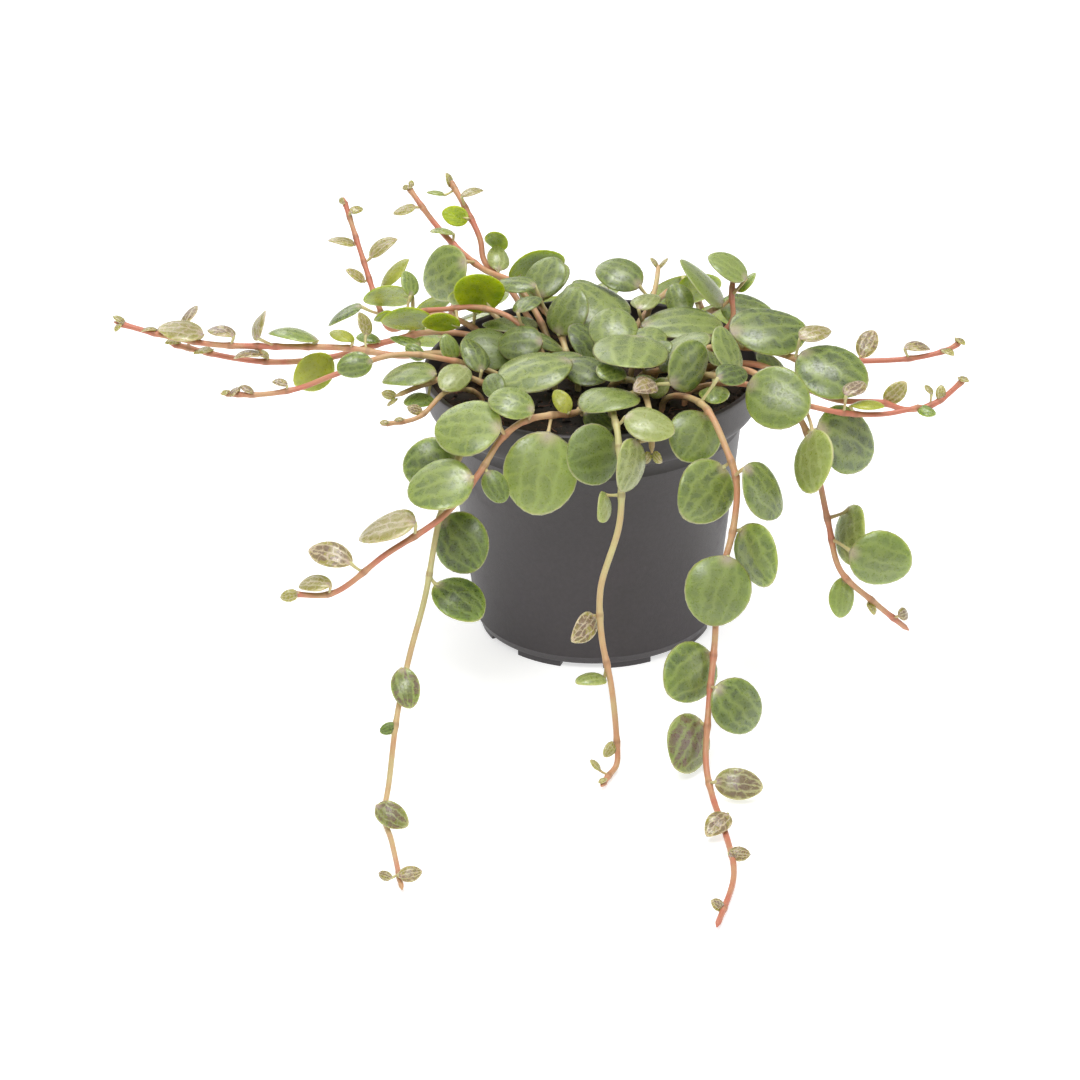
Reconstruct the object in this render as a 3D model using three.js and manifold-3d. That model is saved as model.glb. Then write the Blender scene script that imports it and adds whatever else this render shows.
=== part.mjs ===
// A trailing peperomia with round, turtle-shell patterned leaves, in its small nursery pot.
//
// Millimetres, +Z up. The origin lies on the pot's axis, in the plane that its feet stand on.
// The front of the plant is towards -Y, and its right is towards +X.
// An azimuth of 0 degrees points to the front and 90 degrees to the right.

import * as THREE from 'three';
import { mergeVertices } from 'three/addons/utils/BufferGeometryUtils.js';
import Module from 'manifold-3d';

const wasm = await Module();
wasm.setup();

// ---------------------------------------------------------------- driving dimensions

const POT_HEIGHT = 70.4;
const RIM_RADIUS = 42.5;
const RIM_BAND_HEIGHT = 10.2;
const RIM_TAPER = 0.6;
const RIM_WALL = 1.3;
const BODY_TOP_RADIUS = 37.8;
const BODY_BASE_RADIUS = 30.8;
const BODY_WALL = 1.2;
const FOOT_HEIGHT = 1.6;
const FOOT_COUNT = 8;
const FOOT_WIDTH_DEGREES = 24;
const FIRST_FOOT_DEGREES = 14;
const FOOT_DEPTH = 3;
const CENTRE_BOSS_RADIUS = 6;
const DRAIN_COUNT = 6;
const DRAIN_RADIUS = 3;
const DRAIN_CIRCLE_RADIUS = 19;
const DRAIN_SIDES = 8;
const POT_SIDES = 36;

const SOIL_TOP = 65.3;
const SOIL_GAP = 0.3;
const SOIL_LUMP = 0.5;
const SOIL_SIDES = 18;
const HOLE_GAP = 0.6;
const ROOT_GAP = 0.5;

const STEM_SIDES = 5;
const STEM_STEP = 10;
const STEM_TIP_SHARE = 0.6;

const BLADE_SIDES = 8;
const YOUNG_BLADE_SIDES = 6;
const BLADE_EDGE = 0.65;
const BLADE_CENTRE = 1.5;
const YOUNG_CENTRE = 0.5;
const YOUNG_THICKENING = 0.09;
const BUD_HALF = 2.6;
const BLADE_CUP = 0.09;
const BLADE_EGG = 0.07;
const MATURE_LENGTH = 11;
const MATURE_WIDTH = 0.93;
const YOUNG_WIDTH = 0.72;
const PETIOLE_BASE_RADIUS = 0.45;
const PETIOLE_END_RADIUS = 0.3;
const PETIOLE_SIDES = 3;
const LEAF_AHEAD = 0.3;
const LEAF_FOOT = 0.7;

// The room that a leaf's surroundings keep from its blade, besides half its own thickness.
const BLADE_ROOM = 0.7;
const PETIOLE_ROOM = 0.75;
const STEM_ROOM = 0.35;
const POT_CLEARANCE = 1.2;
const FLOOR_CLEARANCE = 1.1;

// What a leaf that has no room tries: less size, more or less rise, a turn and a tilt. The
// strains weigh a smaller size and a degree of turn against a millimetre of rise.
const SIZE_SHARES = [1, 0.85, 0.7];
const RISES = [0, 1.2, -1.2, 2.4, -2.4, 3.6, -3.6, 4.8, 6, 7.2, 8.4];
const TURNS_AND_TILTS = [[0, 0], [0, 15], [0, -15], [25, 0], [-25, 0], [25, 20], [-25, -20]];
const SHRINKING_STRAIN = 12;
const TURNING_STRAIN = 0.04;

// Each stem has the points that it runs through, the azimuth and elevation that its leaves
// mostly face, and how far the leaves rise off it. A leaf is a list of five: its place along
// the stem from root (0) to tip (1), how far it sits to the right in leaf lengths, its own
// length, and the azimuth and elevation that its upper face looks to. Where a stem has a fill,
// that many more small leaves stand along it wherever the crown still has room.
const STEMS = {
  left_long: {
    radius: 1.1, faces: [0, 50], rise: 1,
    route: [[-17, 4, 58], [-17, 4, 68], [-38, 1, 74], [-48, 0, 74], [-62, 1, 76], [-81, 3, 76],
      [-95, 5, 76], [-108, 7, 78], [-120, 9, 81]],
    leaves: [[0.14, 0, 16.5, -10, 60], [0.33, 0.5, 8.5, 115, 80], [0.44, 1.1, 6.5, 60, 40],
      [0.48, 0.3, 7, 45, 80], [0.57, 0.1, 12.5, 135, 75], [0.64, 0.5, 9, -80, 50],
      [0.68, 0, 7, 180, 85], [0.74, 0.3, 8, 75, 75], [0.82, 0, 11, -155, 80],
      [0.91, 0.1, 4, 0, 85], [0.98, 0.2, 3.5, 55, 60], [0.98, -0.5, 2.8, -55, 60]],
  },
  left_second: {
    radius: 1, faces: [0, 50], rise: 1,
    route: [[-15, 11, 58], [-15, 11, 68], [-38, 12, 75], [-52, 11, 73], [-66, 9, 70], [-80, 9, 69],
      [-91, 10, 70], [-107, 11, 74]],
    leaves: [[0.14, 0.4, 15.2, -155, 80], [0.4, 1, 12.7, -175, 40], [0.49, 0.2, 6.1, 35, 75],
      [0.62, -0.3, 11.1, 50, 25], [0.76, 0.4, 4.6, 70, 80], [0.9, 0, 5.1, -100, 85],
      [0.95, 1.2, 7.1, -80, 55], [0.98, 0.1, 3.8, 0, 80]],
  },
  left_low: {
    radius: 0.9, faces: [0, 45], rise: 1,
    route: [[-21, -5, 58], [-21, -5, 68], [-40, -10, 78], [-50, -11, 79], [-64, -13, 75],
      [-73, -14, 72], [-83, -15, 71], [-92, -16, 72]],
    leaves: [[0.3, 0.5, 6.9, 25, 30], [0.41, 0.1, 5.4, 0, 25], [0.57, 0, 8.9, 0, 25],
      [0.81, 0.5, 4.2, 0, 80], [0.91, 0.3, 3.7, 55, 60], [0.95, 0.1, 3.4, -65, 65],
      [0.98, 0, 2.2, 0, 70]],
  },
  left_upright: {
    radius: 0.9, faces: [0, 30], rise: 1,
    route: [[-24, 17, 58], [-24, 17, 68], [-39, 19, 77], [-51, 19, 73], [-54, 24, 77],
      [-58, 34, 86], [-63, 45, 99]],
    leaves: [[0.23, 0.5, 14.2, 175, 45], [0.41, -0.3, 5.6, 0, 55], [0.58, -0.9, 10.2, -90, 60],
      [0.71, -0.5, 5.6, 65, 65], [0.66, 0.6, 10.2, -75, 50], [0.77, 0.7, 8, -50, 60],
      [0.86, -0.4, 6.7, -100, 85], [0.93, 0.6, 3.9, 30, 65], [0.98, -0.3, 2.3, -50, 40]],
  },
  back_left_high: {
    radius: 1, faces: [0, 35], rise: 1,
    route: [[-10, 13, 58], [-10, 13, 68], [-15, 21, 78], [-20, 27, 82], [-27, 33, 83],
      [-34, 41, 86], [-40, 49, 90], [-47, 58, 97]],
    leaves: [[0.59, -0.5, 15.5, -45, 35], [0.71, -0.4, 6.2, 115, 80], [0.9, -0.7, 6, -50, 70],
      [0.98, -0.3, 2.4, -50, 40], [0.98, 0.5, 2.4, 40, 60]],
  },
  back_left_tall: {
    radius: 1, faces: [0, 25], rise: 1,
    route: [[-13, 18, 58], [-13, 18, 68], [-20, 30, 78], [-27, 39, 83], [-28, 42, 88],
      [-32, 48, 95], [-36, 55, 100]],
    leaves: [[0.52, 0.4, 9.8, 55, 60], [0.56, 0.4, 12.4, -170, 35], [0.79, -0.4, 7.5, -180, -25],
      [0.84, 0.5, 6.2, -80, 70], [0.94, -1, 4.7, 115, 80], [0.96, 0, 3.9, 55, 15]],
  },
  crown_left: {
    radius: 0.9, faces: [0, 70], rise: 2,
    route: [[-10, -3, 58], [-10, -3, 68], [-18, 4, 80], [-27, 8, 83], [-38, 10, 82], [-48, 13, 80]],
    leaves: [[0.31, -0.4, 11, -15, 65], [0.62, 0.5, 13.6, -175, 20], [0.75, -0.6, 10, -170, 30],
      [0.88, -0.3, 13.1, -175, 40], [1, -0.9, 6, -175, 30], [0.97, 0.9, 7.6, 55, 60]],
    fill: 1,
  },
  left_short: {
    radius: 0.8, faces: [0, 40], rise: 0.5,
    route: [[-28, -13, 58], [-28, -13, 68], [-36, -22, 74], [-43, -28, 70], [-52, -32, 70]],
    leaves: [[0.74, 0.4, 3.7, 40, 25], [0.88, 0.2, 2.4, 0, 80], [0.97, 0.2, 2.2, 0, 70]],
  },
  crown_left_low: {
    radius: 0.9, faces: [0, 60], rise: 2,
    route: [[-24, -12, 58], [-24, -12, 68], [-33, -15, 75], [-42, -18, 74], [-49, -20, 72]],
    leaves: [[0.56, -0.3, 10.8, 35, 50], [0.76, 0.3, 13.7, -55, 80], [0.76, -0.2, 11.2, 75, 80]],
    fill: 1,
  },
  crown_back_left: {
    radius: 1, faces: [0, 70], rise: 5,
    route: [[-6, 4, 58], [-6, 4, 68], [-8, 13, 74], [-12, 25, 75], [-16, 37, 75]],
    leaves: [[0.3, -0.4, 10, 55, 60], [0.41, 0.2, 13.1, -40, 25], [0.78, 0.2, 15.4, -60, 65],
      [1, 0.3, 15.1, -165, 30]],
    fill: 4,
  },
  crown_back: {
    radius: 1, faces: [0, 70], rise: 4,
    route: [[4, 8, 58], [4, 8, 68], [5, 16, 74], [5, 28, 75], [4, 40, 74]],
    leaves: [[0.44, -0.2, 18.8, 35, 55]],
    fill: 2,
  },
  crown_back_middle: {
    radius: 0.9, faces: [0, 75], rise: 3,
    route: [[12, 14, 58], [12, 14, 68], [15, 21, 76], [17, 28, 80], [18, 36, 82]],
    leaves: [[0.43, 0, 10.2, 35, 75]],
    fill: 2,
  },
  crown_centre: {
    radius: 1, faces: [0, 65], rise: 2,
    route: [[6, -2, 58], [6, -2, 68], [7, -8, 76], [9, -16, 80], [12, -23, 82]],
    leaves: [[0.8, 0.1, 19.9, 65, 70], [0.29, -0.8, 12.5, 55, 60]],
    fill: 2,
  },
  crown_middle: {
    radius: 1, faces: [0, 65], rise: 3,
    route: [[-4, -4, 58], [-4, -4, 68], [-6, -11, 73], [-9, -19, 75], [-14, -26, 77]],
    leaves: [[0.58, -0.5, 11.8, 0, 75], [0.8, 0.2, 19, -40, 80]],
    fill: 3,
  },
  crown_front: {
    radius: 1, faces: [0, 50], rise: 3,
    route: [[4, -10, 58], [4, -10, 68], [9, -20, 75], [12, -31, 76], [13, -42, 73], [13, -47, 68]],
    leaves: [[0.62, 0.6, 15.4, -15, 75], [0.64, 0, 7.7, 60, 40], [0.93, 0.9, 15.7, 40, 25],
      [0.56, -0.8, 16, 40, 25], [0.23, -1.1, 13.4, 0, 65]],
    fill: 2,
  },
  crown_front_right: {
    radius: 1, faces: [0, 45], rise: 3,
    route: [[11, -5, 58], [11, -5, 68], [18, -12, 74], [25, -19, 76], [32, -24, 77]],
    leaves: [[0.33, -0.8, 12.4, 95, 80], [0.6, 1.2, 5.9, 0, 25], [0.91, -0.5, 12.6, 40, 35]],
    fill: 3,
  },
  crown_right_back: {
    radius: 0.9, faces: [0, 75], rise: 3,
    route: [[10, 3, 58], [10, 3, 68], [17, 10, 73], [25, 18, 74], [33, 28, 73]],
    leaves: [[0.43, 0.2, 20.7, 170, 75], [0.27, 0.4, 11, 0, 85]],
    fill: 3,
  },
  crown_right: {
    radius: 1, faces: [0, 60], rise: 3,
    route: [[16, 0, 58], [16, 0, 68], [28, -2, 75], [40, -7, 77], [52, -14, 76], [60, -20, 74]],
    leaves: [[0.57, -0.2, 19.3, 25, 55], [0.79, -0.6, 8.9, 180, 85], [0.88, 0, 18.6, 10, 65]],
    fill: 3,
  },
  right_upright: {
    radius: 0.9, faces: [0, 35], rise: 1,
    route: [[20, 14, 58], [20, 14, 68], [33, 17, 71], [36, 18, 74], [36, 21, 80], [37, 25, 86]],
    leaves: [[0.8, -0.4, 16.3, 85, 60], [0.82, -0.3, 11.2, 55, 60], [0.86, 0.5, 6.4, -75, 55],
      [0.96, -0.1, 2.5, 0, 70]],
  },
  right_upper: {
    radius: 0.9, faces: [0, 50], rise: 1,
    route: [[22, 5, 58], [22, 5, 68], [38, 2, 74], [49, -1, 72], [59, -4, 72], [68, -5, 72],
      [80, -6, 73], [88, -6, 75], [92, -5, 77]],
    leaves: [[0.37, 0.4, 15, 85, 60], [0.68, -0.6, 7.5, 0, 45], [0.83, -0.2, 6.7, 65, 65],
      [0.93, 0.3, 4, 0, 85], [0.98, 0.1, 3, 50, 70]],
  },
  right_mid: {
    radius: 1, faces: [0, 45], rise: 1,
    route: [[25, -3, 58], [25, -3, 68], [40, -10, 74], [52, -16, 70], [60, -17, 67], [71, -17, 66],
      [77, -17, 64], [84, -16, 65], [92, -14, 71]],
    leaves: [[0.73, -0.5, 6.9, 0, 25], [0.87, -1, 3.2, 55, 60], [0.9, -0.3, 3.7, 0, 25],
      [0.98, 0, 3, 0, 80]],
  },
  right_low: {
    radius: 0.9, faces: [0, 45], rise: 1,
    route: [[23, -14, 58], [23, -14, 68], [37, -24, 75], [45, -29, 73], [52, -31, 72],
      [60, -31, 70], [70, -30, 69], [80, -28, 70]],
    leaves: [[0.45, 0, 16.5, -40, 35], [0.73, -0.6, 7.3, 10, 80], [0.77, 0, 8.2, 180, 85],
      [0.59, 0.9, 15.9, -65, 25], [0.98, 0.3, 5.1, 0, 70]],
  },
  front_left: {
    radius: 1.2, faces: [0, 30], rise: 1,
    route: [[-3, -20, 58], [-3, -20, 68], [-5, -34, 73], [-17, -42, 75], [-23, -46, 72],
      [-28, -51, 66], [-37, -56, 57], [-51, -60, 49], [-64, -62, 40], [-74, -62, 40]],
    leaves: [[0.19, -0.7, 8.2, 0, 55], [0.25, 0.4, 6.2, 0, 25], [0.35, 0.4, 11, -5, 45],
      [0.29, -0.7, 19.6, 0, 25], [0.41, 0.5, 16.7, 0, 55], [0.49, -0.5, 10, 0, 25],
      [0.54, 0.3, 16.2, 0, 60], [0.7, 0.4, 14.3, -80, 70], [0.83, 0.8, 10.5, 0, 65],
      [0.92, 0.3, 8.1, -50, 70], [0.99, -0.1, 4.3, 0, 25]],
  },
  front_left_trailing: {
    radius: 0.9, faces: [0, 30], rise: 1,
    route: [[-16, -19, 58], [-16, -19, 68], [-27, -36, 75], [-33, -44, 67], [-38, -50, 54],
      [-42, -59, 37], [-46, -69, 26], [-49, -83, 17], [-51, -92, 5], [-52, -101, 1.6],
      [-50, -112, 1.5], [-47, -133, 1.5]],
    leaves: [[0.14, 0.5, 8.2, -40, 60], [0.27, 0.4, 13.9, 0, 40], [0.36, -0.4, 15.3, 0, 25],
      [0.44, -0.6, 13.9, 35, 60], [0.6, -0.1, 9.7, 0, 25], [0.67, 0.4, 4.2, 0, 25],
      [0.81, -0.2, 8.4, 0, 25], [0.96, 0.3, 3.4, 0, 25], [0.97, -0.5, 5.2, 0, 25]],
  },
  front_trailing: {
    radius: 1, faces: [0, 30], rise: 1,
    route: [[4, -21, 58], [4, -21, 68], [4, -38, 75], [5, -47, 72], [5, -56, 55], [0, -63, 40],
      [0, -68, 30], [2, -74, 20], [3, -78, 9], [3, -81, 2.4], [1, -85, 1.6], [-1, -90, 1.6]],
    leaves: [[0.27, -0.6, 12.4, 0, 50], [0.32, 0, 15.2, 80, 10], [0.41, 0.4, 9, 70, 20],
      [0.64, 0.4, 9, 45, 25], [0.73, 0.5, 8.6, -95, 80], [0.88, 0.3, 5.2, 30, 25],
      [0.96, 1.1, 3.6, 70, 40], [0.99, 0.3, 2.1, 0, 70]],
  },
  front_right_long: {
    radius: 1.1, faces: [0, 30], rise: 1,
    route: [[17, -18, 58], [17, -18, 68], [26, -36, 75], [31, -47, 68], [33, -51, 62],
      [32, -56, 52], [28, -63, 40], [27, -68, 28], [25, -78, 15], [24, -86, 5], [25, -96, 1.8],
      [27, -111, 1.6], [28, -130, 1.6], [23, -151, 1.5]],
    leaves: [[0.16, -1.1, 9.6, 55, 60], [0.18, 0.3, 14.3, 0, 25], [0.26, 0.5, 16, 0, 25],
      [0.28, -0.4, 15.2, 55, 30], [0.35, -0.4, 15.7, -50, 25], [0.4, 0, 17.1, 30, 25],
      [0.51, 0.3, 15.7, 35, 25], [0.55, -0.5, 14.2, 0, 25], [0.6, 0.2, 14.7, 20, 25],
      [0.68, -0.6, 10.8, 0, 25], [0.77, 0.2, 7.9, 20, 50], [0.84, -0.3, 5.7, 0, 25],
      [0.96, 0.4, 4, 45, 20]],
  },
  right_hanging: {
    radius: 1, faces: [0, 30], rise: 1,
    route: [[26, -8, 58], [26, -8, 68], [38, -16, 75], [50, -25, 66], [54, -28, 54], [57, -31, 40],
      [60, -33, 28], [69, -32, 18], [78, -28, 8]],
    leaves: [[0.43, -0.5, 18.6, 20, 25], [0.63, -0.2, 15.3, -45, 40], [0.68, -0.7, 15.3, 0, 25],
      [0.78, 0.4, 9.9, 0, 25], [0.86, 0.4, 3.7, 55, 60], [0.94, -0.5, 4.8, 60, 30]],
  },
  back_hanging: {
    radius: 1, faces: [180, 30], rise: 1,
    route: [[-3, 24, 58], [-3, 24, 68], [-3, 38, 75], [-4, 50, 70], [-6, 58, 50], [-8, 64, 30],
      [-9, 68, 12]],
    leaves: leavesInTurn(7, 17, 7, [180, 30]),
  },
  back_right: {
    radius: 1, faces: [150, 35], rise: 1,
    route: [[10, 20, 58], [10, 20, 68], [20, 34, 75], [28, 44, 69], [32, 52, 54], [34, 57, 38]],
    leaves: leavesInTurn(7, 17, 6, [150, 35]),
  },
  back_left: {
    radius: 0.9, faces: [200, 35], rise: 1,
    route: [[-20, 21, 58], [-20, 21, 68], [-29, 32, 75], [-35, 42, 70], [-37, 52, 56],
      [-37, 58, 38]],
    leaves: leavesInTurn(7, 16, 6, [200, 35]),
  },};

// ---------------------------------------------------------------- small helpers

function random(seed) {
  let state = seed;
  return () => {
    state = (state * 16807) % 2147483647;
    return state / 2147483647;
  };
}

// Leaves on alternate sides of a stem, even along it and smaller towards its tip.
function leavesInTurn(count, longest, shortest, [azimuth, elevation]) {
  const next = random(count * 1009 + azimuth);
  const leaves = [];
  for (let i = 0; i < count; i++) {
    const share = i / (count - 1);
    const side = (i % 2 === 0 ? 1 : -1) * (0.35 + 0.3 * next());
    leaves.push([
      0.38 + 0.6 * share,
      side,
      longest + (shortest - longest) * share,
      azimuth + 50 * (next() - 0.5),
      elevation + 30 * (next() - 0.5),
    ]);
  }
  return leaves;
}

// Leaves of middling size that close the gaps of the crown, where they find room.
function fillingLeaves(stem) {
  const count = stem.plan.fill ?? 0;
  const next = random(7919 + Math.round(stem.length * 100));
  const leaves = [];
  for (let i = 0; i < count; i++) {
    leaves.push([
      0.35 + (0.6 * (i + next())) / count,
      (i % 2 === 0 ? 1 : -1) * (0.3 + 0.5 * next()),
      10 + 5 * next(),
      180 * (next() - 0.5),
      40 + 40 * next(),
    ]);
  }
  return leaves;
}

function facing(azimuth, elevation) {
  const turn = THREE.MathUtils.degToRad(azimuth);
  const lift = THREE.MathUtils.degToRad(elevation);
  const flat = Math.cos(lift);
  return new THREE.Vector3(Math.sin(turn) * flat, -Math.cos(turn) * flat, Math.sin(lift));
}

function squareTo(vector, axis) {
  return vector.clone().addScaledVector(axis, -vector.dot(axis));
}

function toSolid(geometry) {
  const bare = geometry.clone();
  bare.deleteAttribute('normal');
  bare.deleteAttribute('uv');
  const merged = mergeVertices(bare, 1e-4);
  return new wasm.Manifold(new wasm.Mesh({
    numProp: 3,
    vertProperties: new Float32Array(merged.attributes.position.array),
    triVerts: new Uint32Array(merged.index.array),
  }));
}

function toGeometry(solid) {
  const mesh = solid.getMesh();
  const geometry = new THREE.BufferGeometry();
  geometry.setAttribute('position', new THREE.BufferAttribute(mesh.vertProperties, 3));
  geometry.setIndex(new THREE.BufferAttribute(mesh.triVerts, 1));
  geometry.computeVertexNormals();
  return geometry;
}

function joined(solids) {
  return solids.reduce((whole, solid) => whole.add(solid));
}

function moveVertices(geometry, place) {
  const position = geometry.attributes.position;
  const point = new THREE.Vector3();
  for (let i = 0; i < position.count; i++) {
    const moved = place(point.fromBufferAttribute(position, i));
    position.setXYZ(i, moved.x, moved.y, moved.z);
  }
  return geometry;
}

// A rod bent along a stretch of a curve, with a radius that changes along it. One of its
// corners always faces sideways.
function bentRod(curve, sideways, sides, steps, radiusAt, start = 0, end = 1) {
  const rod = new THREE.CylinderGeometry(1, 1, 1, sides, steps);
  return moveVertices(rod, (point) => {
    const share = start + (end - start) * (point.y + 0.5);
    const tangent = curve.getTangentAt(share);
    const across = squareTo(sideways, tangent).normalize();
    const other = new THREE.Vector3().crossVectors(tangent, across);
    const radius = radiusAt(share);
    return curve.getPointAt(share)
      .addScaledVector(across, point.z * radius)
      .addScaledVector(other, point.x * radius);
  });
}

// ---------------------------------------------------------------- pot and soil

function potSolid() {
  const bandBottom = POT_HEIGHT - RIM_BAND_HEIGHT;
  const floorTop = FOOT_HEIGHT + BODY_WALL;
  const profile = [
    [0, 0],
    [CENTRE_BOSS_RADIUS, 0],
    [CENTRE_BOSS_RADIUS, FOOT_HEIGHT],
    [BODY_BASE_RADIUS - 0.6, FOOT_HEIGHT],
    [BODY_BASE_RADIUS, FOOT_HEIGHT + 0.8],
    [BODY_TOP_RADIUS, bandBottom],
    [RIM_RADIUS - RIM_TAPER, bandBottom],
    [RIM_RADIUS, POT_HEIGHT - 0.3],
    [RIM_RADIUS - 0.3, POT_HEIGHT],
    [RIM_RADIUS - RIM_WALL, POT_HEIGHT],
    [RIM_RADIUS - RIM_TAPER - RIM_WALL, bandBottom + BODY_WALL],
    [BODY_TOP_RADIUS - BODY_WALL, bandBottom + BODY_WALL],
    [BODY_BASE_RADIUS - BODY_WALL, floorTop],
    [0, floorTop],
  ].map(([radius, z]) => new THREE.Vector2(radius, z));
  const shell = new THREE.LatheGeometry(profile, POT_SIDES).rotateX(Math.PI / 2);
  const holes = drainHoles(floorTop);
  return joined([toSolid(shell), ...potFeet()]).subtract(joined(holes));
}

// Short blocks round the edge of the base, each following its curve.
function potFeet() {
  const feet = [];
  for (let i = 0; i < FOOT_COUNT; i++) {
    const middle = FIRST_FOOT_DEGREES + (360 / FOOT_COUNT) * i - 90;
    const from = THREE.MathUtils.degToRad(middle - FOOT_WIDTH_DEGREES / 2);
    const to = THREE.MathUtils.degToRad(middle + FOOT_WIDTH_DEGREES / 2);
    const outline = new THREE.Shape();
    outline.absarc(0, 0, BODY_BASE_RADIUS - 0.9, from, to, false);
    outline.absarc(0, 0, BODY_BASE_RADIUS - FOOT_DEPTH, to, from, true);
    outline.closePath();
    const block = new THREE.ExtrudeGeometry(outline, {
      depth: FOOT_HEIGHT + BODY_WALL / 2,
      bevelEnabled: false,
      curveSegments: 2,
    });
    feet.push(toSolid(block));
  }
  return feet;
}

function drainHoles(height) {
  const holes = [];
  for (let i = 0; i < DRAIN_COUNT; i++) {
    const angle = (2 * Math.PI * (i + 0.5)) / DRAIN_COUNT;
    const hole = new THREE.CylinderGeometry(DRAIN_RADIUS, DRAIN_RADIUS, 4 * height, DRAIN_SIDES);
    hole.rotateX(Math.PI / 2);
    hole.translate(DRAIN_CIRCLE_RADIUS * Math.cos(angle), DRAIN_CIRCLE_RADIUS * Math.sin(angle), 0);
    holes.push(toSolid(hole));
  }
  return holes;
}

function soilLump(x, y) {
  const slow = Math.sin(0.31 * x + 0.8) * Math.cos(0.27 * y);
  return SOIL_LUMP * (slow + 0.6 * Math.sin(0.19 * x - 0.41 * y));
}

function soilSolid(stems) {
  const ledge = POT_HEIGHT - RIM_BAND_HEIGHT + BODY_WALL + SOIL_GAP;
  const bottom = FOOT_HEIGHT + BODY_WALL + SOIL_GAP;
  const wall = BODY_WALL + SOIL_GAP;
  const edge = RIM_RADIUS - RIM_TAPER - RIM_WALL - SOIL_GAP;
  const profile = [
    [0, bottom],
    [BODY_BASE_RADIUS - wall, bottom],
    [BODY_TOP_RADIUS - wall, ledge],
    [edge, ledge],
    [edge, SOIL_TOP],
    [0.75 * edge, SOIL_TOP],
    [0.5 * edge, SOIL_TOP],
    [0.25 * edge, SOIL_TOP],
    [0, SOIL_TOP],
  ].map(([radius, z]) => new THREE.Vector2(radius, z));
  const body = new THREE.LatheGeometry(profile, SOIL_SIDES).rotateX(Math.PI / 2);
  moveVertices(body, (point) => {
    const lump = point.z > SOIL_TOP - 0.01 ? soilLump(point.x, point.y) : 0;
    return point.setZ(point.z + lump);
  });
  return toSolid(body).subtract(joined(stems.map(stemHole)));
}

// ---------------------------------------------------------------- stems

function makeStem(name, plan) {
  const curve = new THREE.CatmullRomCurve3(plan.route.map((point) => new THREE.Vector3(...point)));
  const length = curve.getLength();
  const samples = curve.getSpacedPoints(Math.ceil(length / 2));
  const outwards = curve.getPointAt(1).sub(curve.getPointAt(0));
  const sideways = new THREE.Vector3(-outwards.y, outwards.x, 0).normalize();
  const steps = Math.ceil(length / STEM_STEP);
  const start = ROOT_GAP / length;
  return { name, plan, curve, length, steps, start, samples, sideways, leaves: [] };
}

function stemRadius(stem, share) {
  return stem.plan.radius * (1 - (1 - STEM_TIP_SHARE) * share);
}

function stemRod(stem) {
  const radiusAt = (share) => stemRadius(stem, share);
  return bentRod(stem.curve, stem.sideways, STEM_SIDES, stem.steps, radiusAt, stem.start);
}

// The middle of the faceted rod, which cuts the curve's bends a little short.
function rodMiddle(stem, share) {
  const place = Math.max(0, (stem.steps * (share - stem.start)) / (1 - stem.start));
  const ring = Math.min(Math.floor(place), stem.steps - 1);
  const shareAt = (index) => Math.min(1, stem.start + ((1 - stem.start) * index) / stem.steps);
  const from = stem.curve.getPointAt(shareAt(ring));
  return from.lerp(stem.curve.getPointAt(shareAt(ring + 1)), place - ring);
}

// The plain hole that a stem stands in.
function stemHole(stem) {
  const end = (SOIL_TOP - stem.plan.route[0][2] + 2) / stem.length;
  const radius = stem.plan.radius + HOLE_GAP;
  return toSolid(bentRod(stem.curve, stem.sideways, STEM_SIDES, 1, () => radius, 0, end));
}

// ---------------------------------------------------------------- leaves

function placeLeaf(stem, [along, side, length, azimuth, elevation], move) {
  const node = rodMiddle(stem, along);
  const tangent = stem.curve.getTangentAt(along);
  const lift = squareTo(facing(...stem.plan.faces), tangent).normalize();
  const right = new THREE.Vector3().crossVectors(tangent, lift);
  const normal = facing(azimuth + move.turn, elevation + move.tilt);
  const size = length * move.size;
  const centre = node.clone()
    .addScaledVector(tangent, LEAF_AHEAD * length)
    .addScaledVector(right, side * length)
    .addScaledVector(lift, stem.plan.rise)
    .addScaledVector(normal, move.rise);
  let long = squareTo(centre.clone().sub(node), normal);
  if (long.length() < 0.1 * length) {
    long = squareTo(tangent, normal);
  }
  long.normalize();
  const leaf = {
    stem,
    node,
    centre,
    normal,
    long,
    across: new THREE.Vector3().crossVectors(normal, long),
    half: size / 2,
    width: size >= MATURE_LENGTH ? MATURE_WIDTH : YOUNG_WIDTH,
  };
  leaf.thickness = Math.min(BLADE_CENTRE, YOUNG_CENTRE + YOUNG_THICKENING * size);
  leaf.foot = bladePoint(leaf, 0, -LEAF_FOOT, (LEAF_FOOT - 1) * LEAF_FOOT * BLADE_CUP * size);
  leaf.petiole = new THREE.LineCurve3(leaf.node, leaf.foot).getPoints(5);
  leaf.samples = bladeSamples(leaf);
  return leaf;
}

// A point of the blade: across and along run from -1 to 1, and height is off its middle.
function bladePoint(leaf, across, along, height) {
  const spread = leaf.half * leaf.width * (1 - BLADE_EGG * along);
  const droop = 2 * leaf.half * BLADE_CUP * (across * across + along * along);
  return leaf.centre.clone()
    .addScaledVector(leaf.across, across * spread)
    .addScaledVector(leaf.long, along * leaf.half)
    .addScaledVector(leaf.normal, height - droop);
}

function bladeSamples(leaf) {
  const samples = [bladePoint(leaf, 0, 0, 0)];
  for (const ring of [0.4, 0.7, 1]) {
    for (let i = 0; i < 14; i++) {
      const angle = (2 * Math.PI * i) / 14;
      samples.push(bladePoint(leaf, ring * Math.sin(angle), ring * Math.cos(angle), 0));
    }
  }
  return samples;
}

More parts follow.
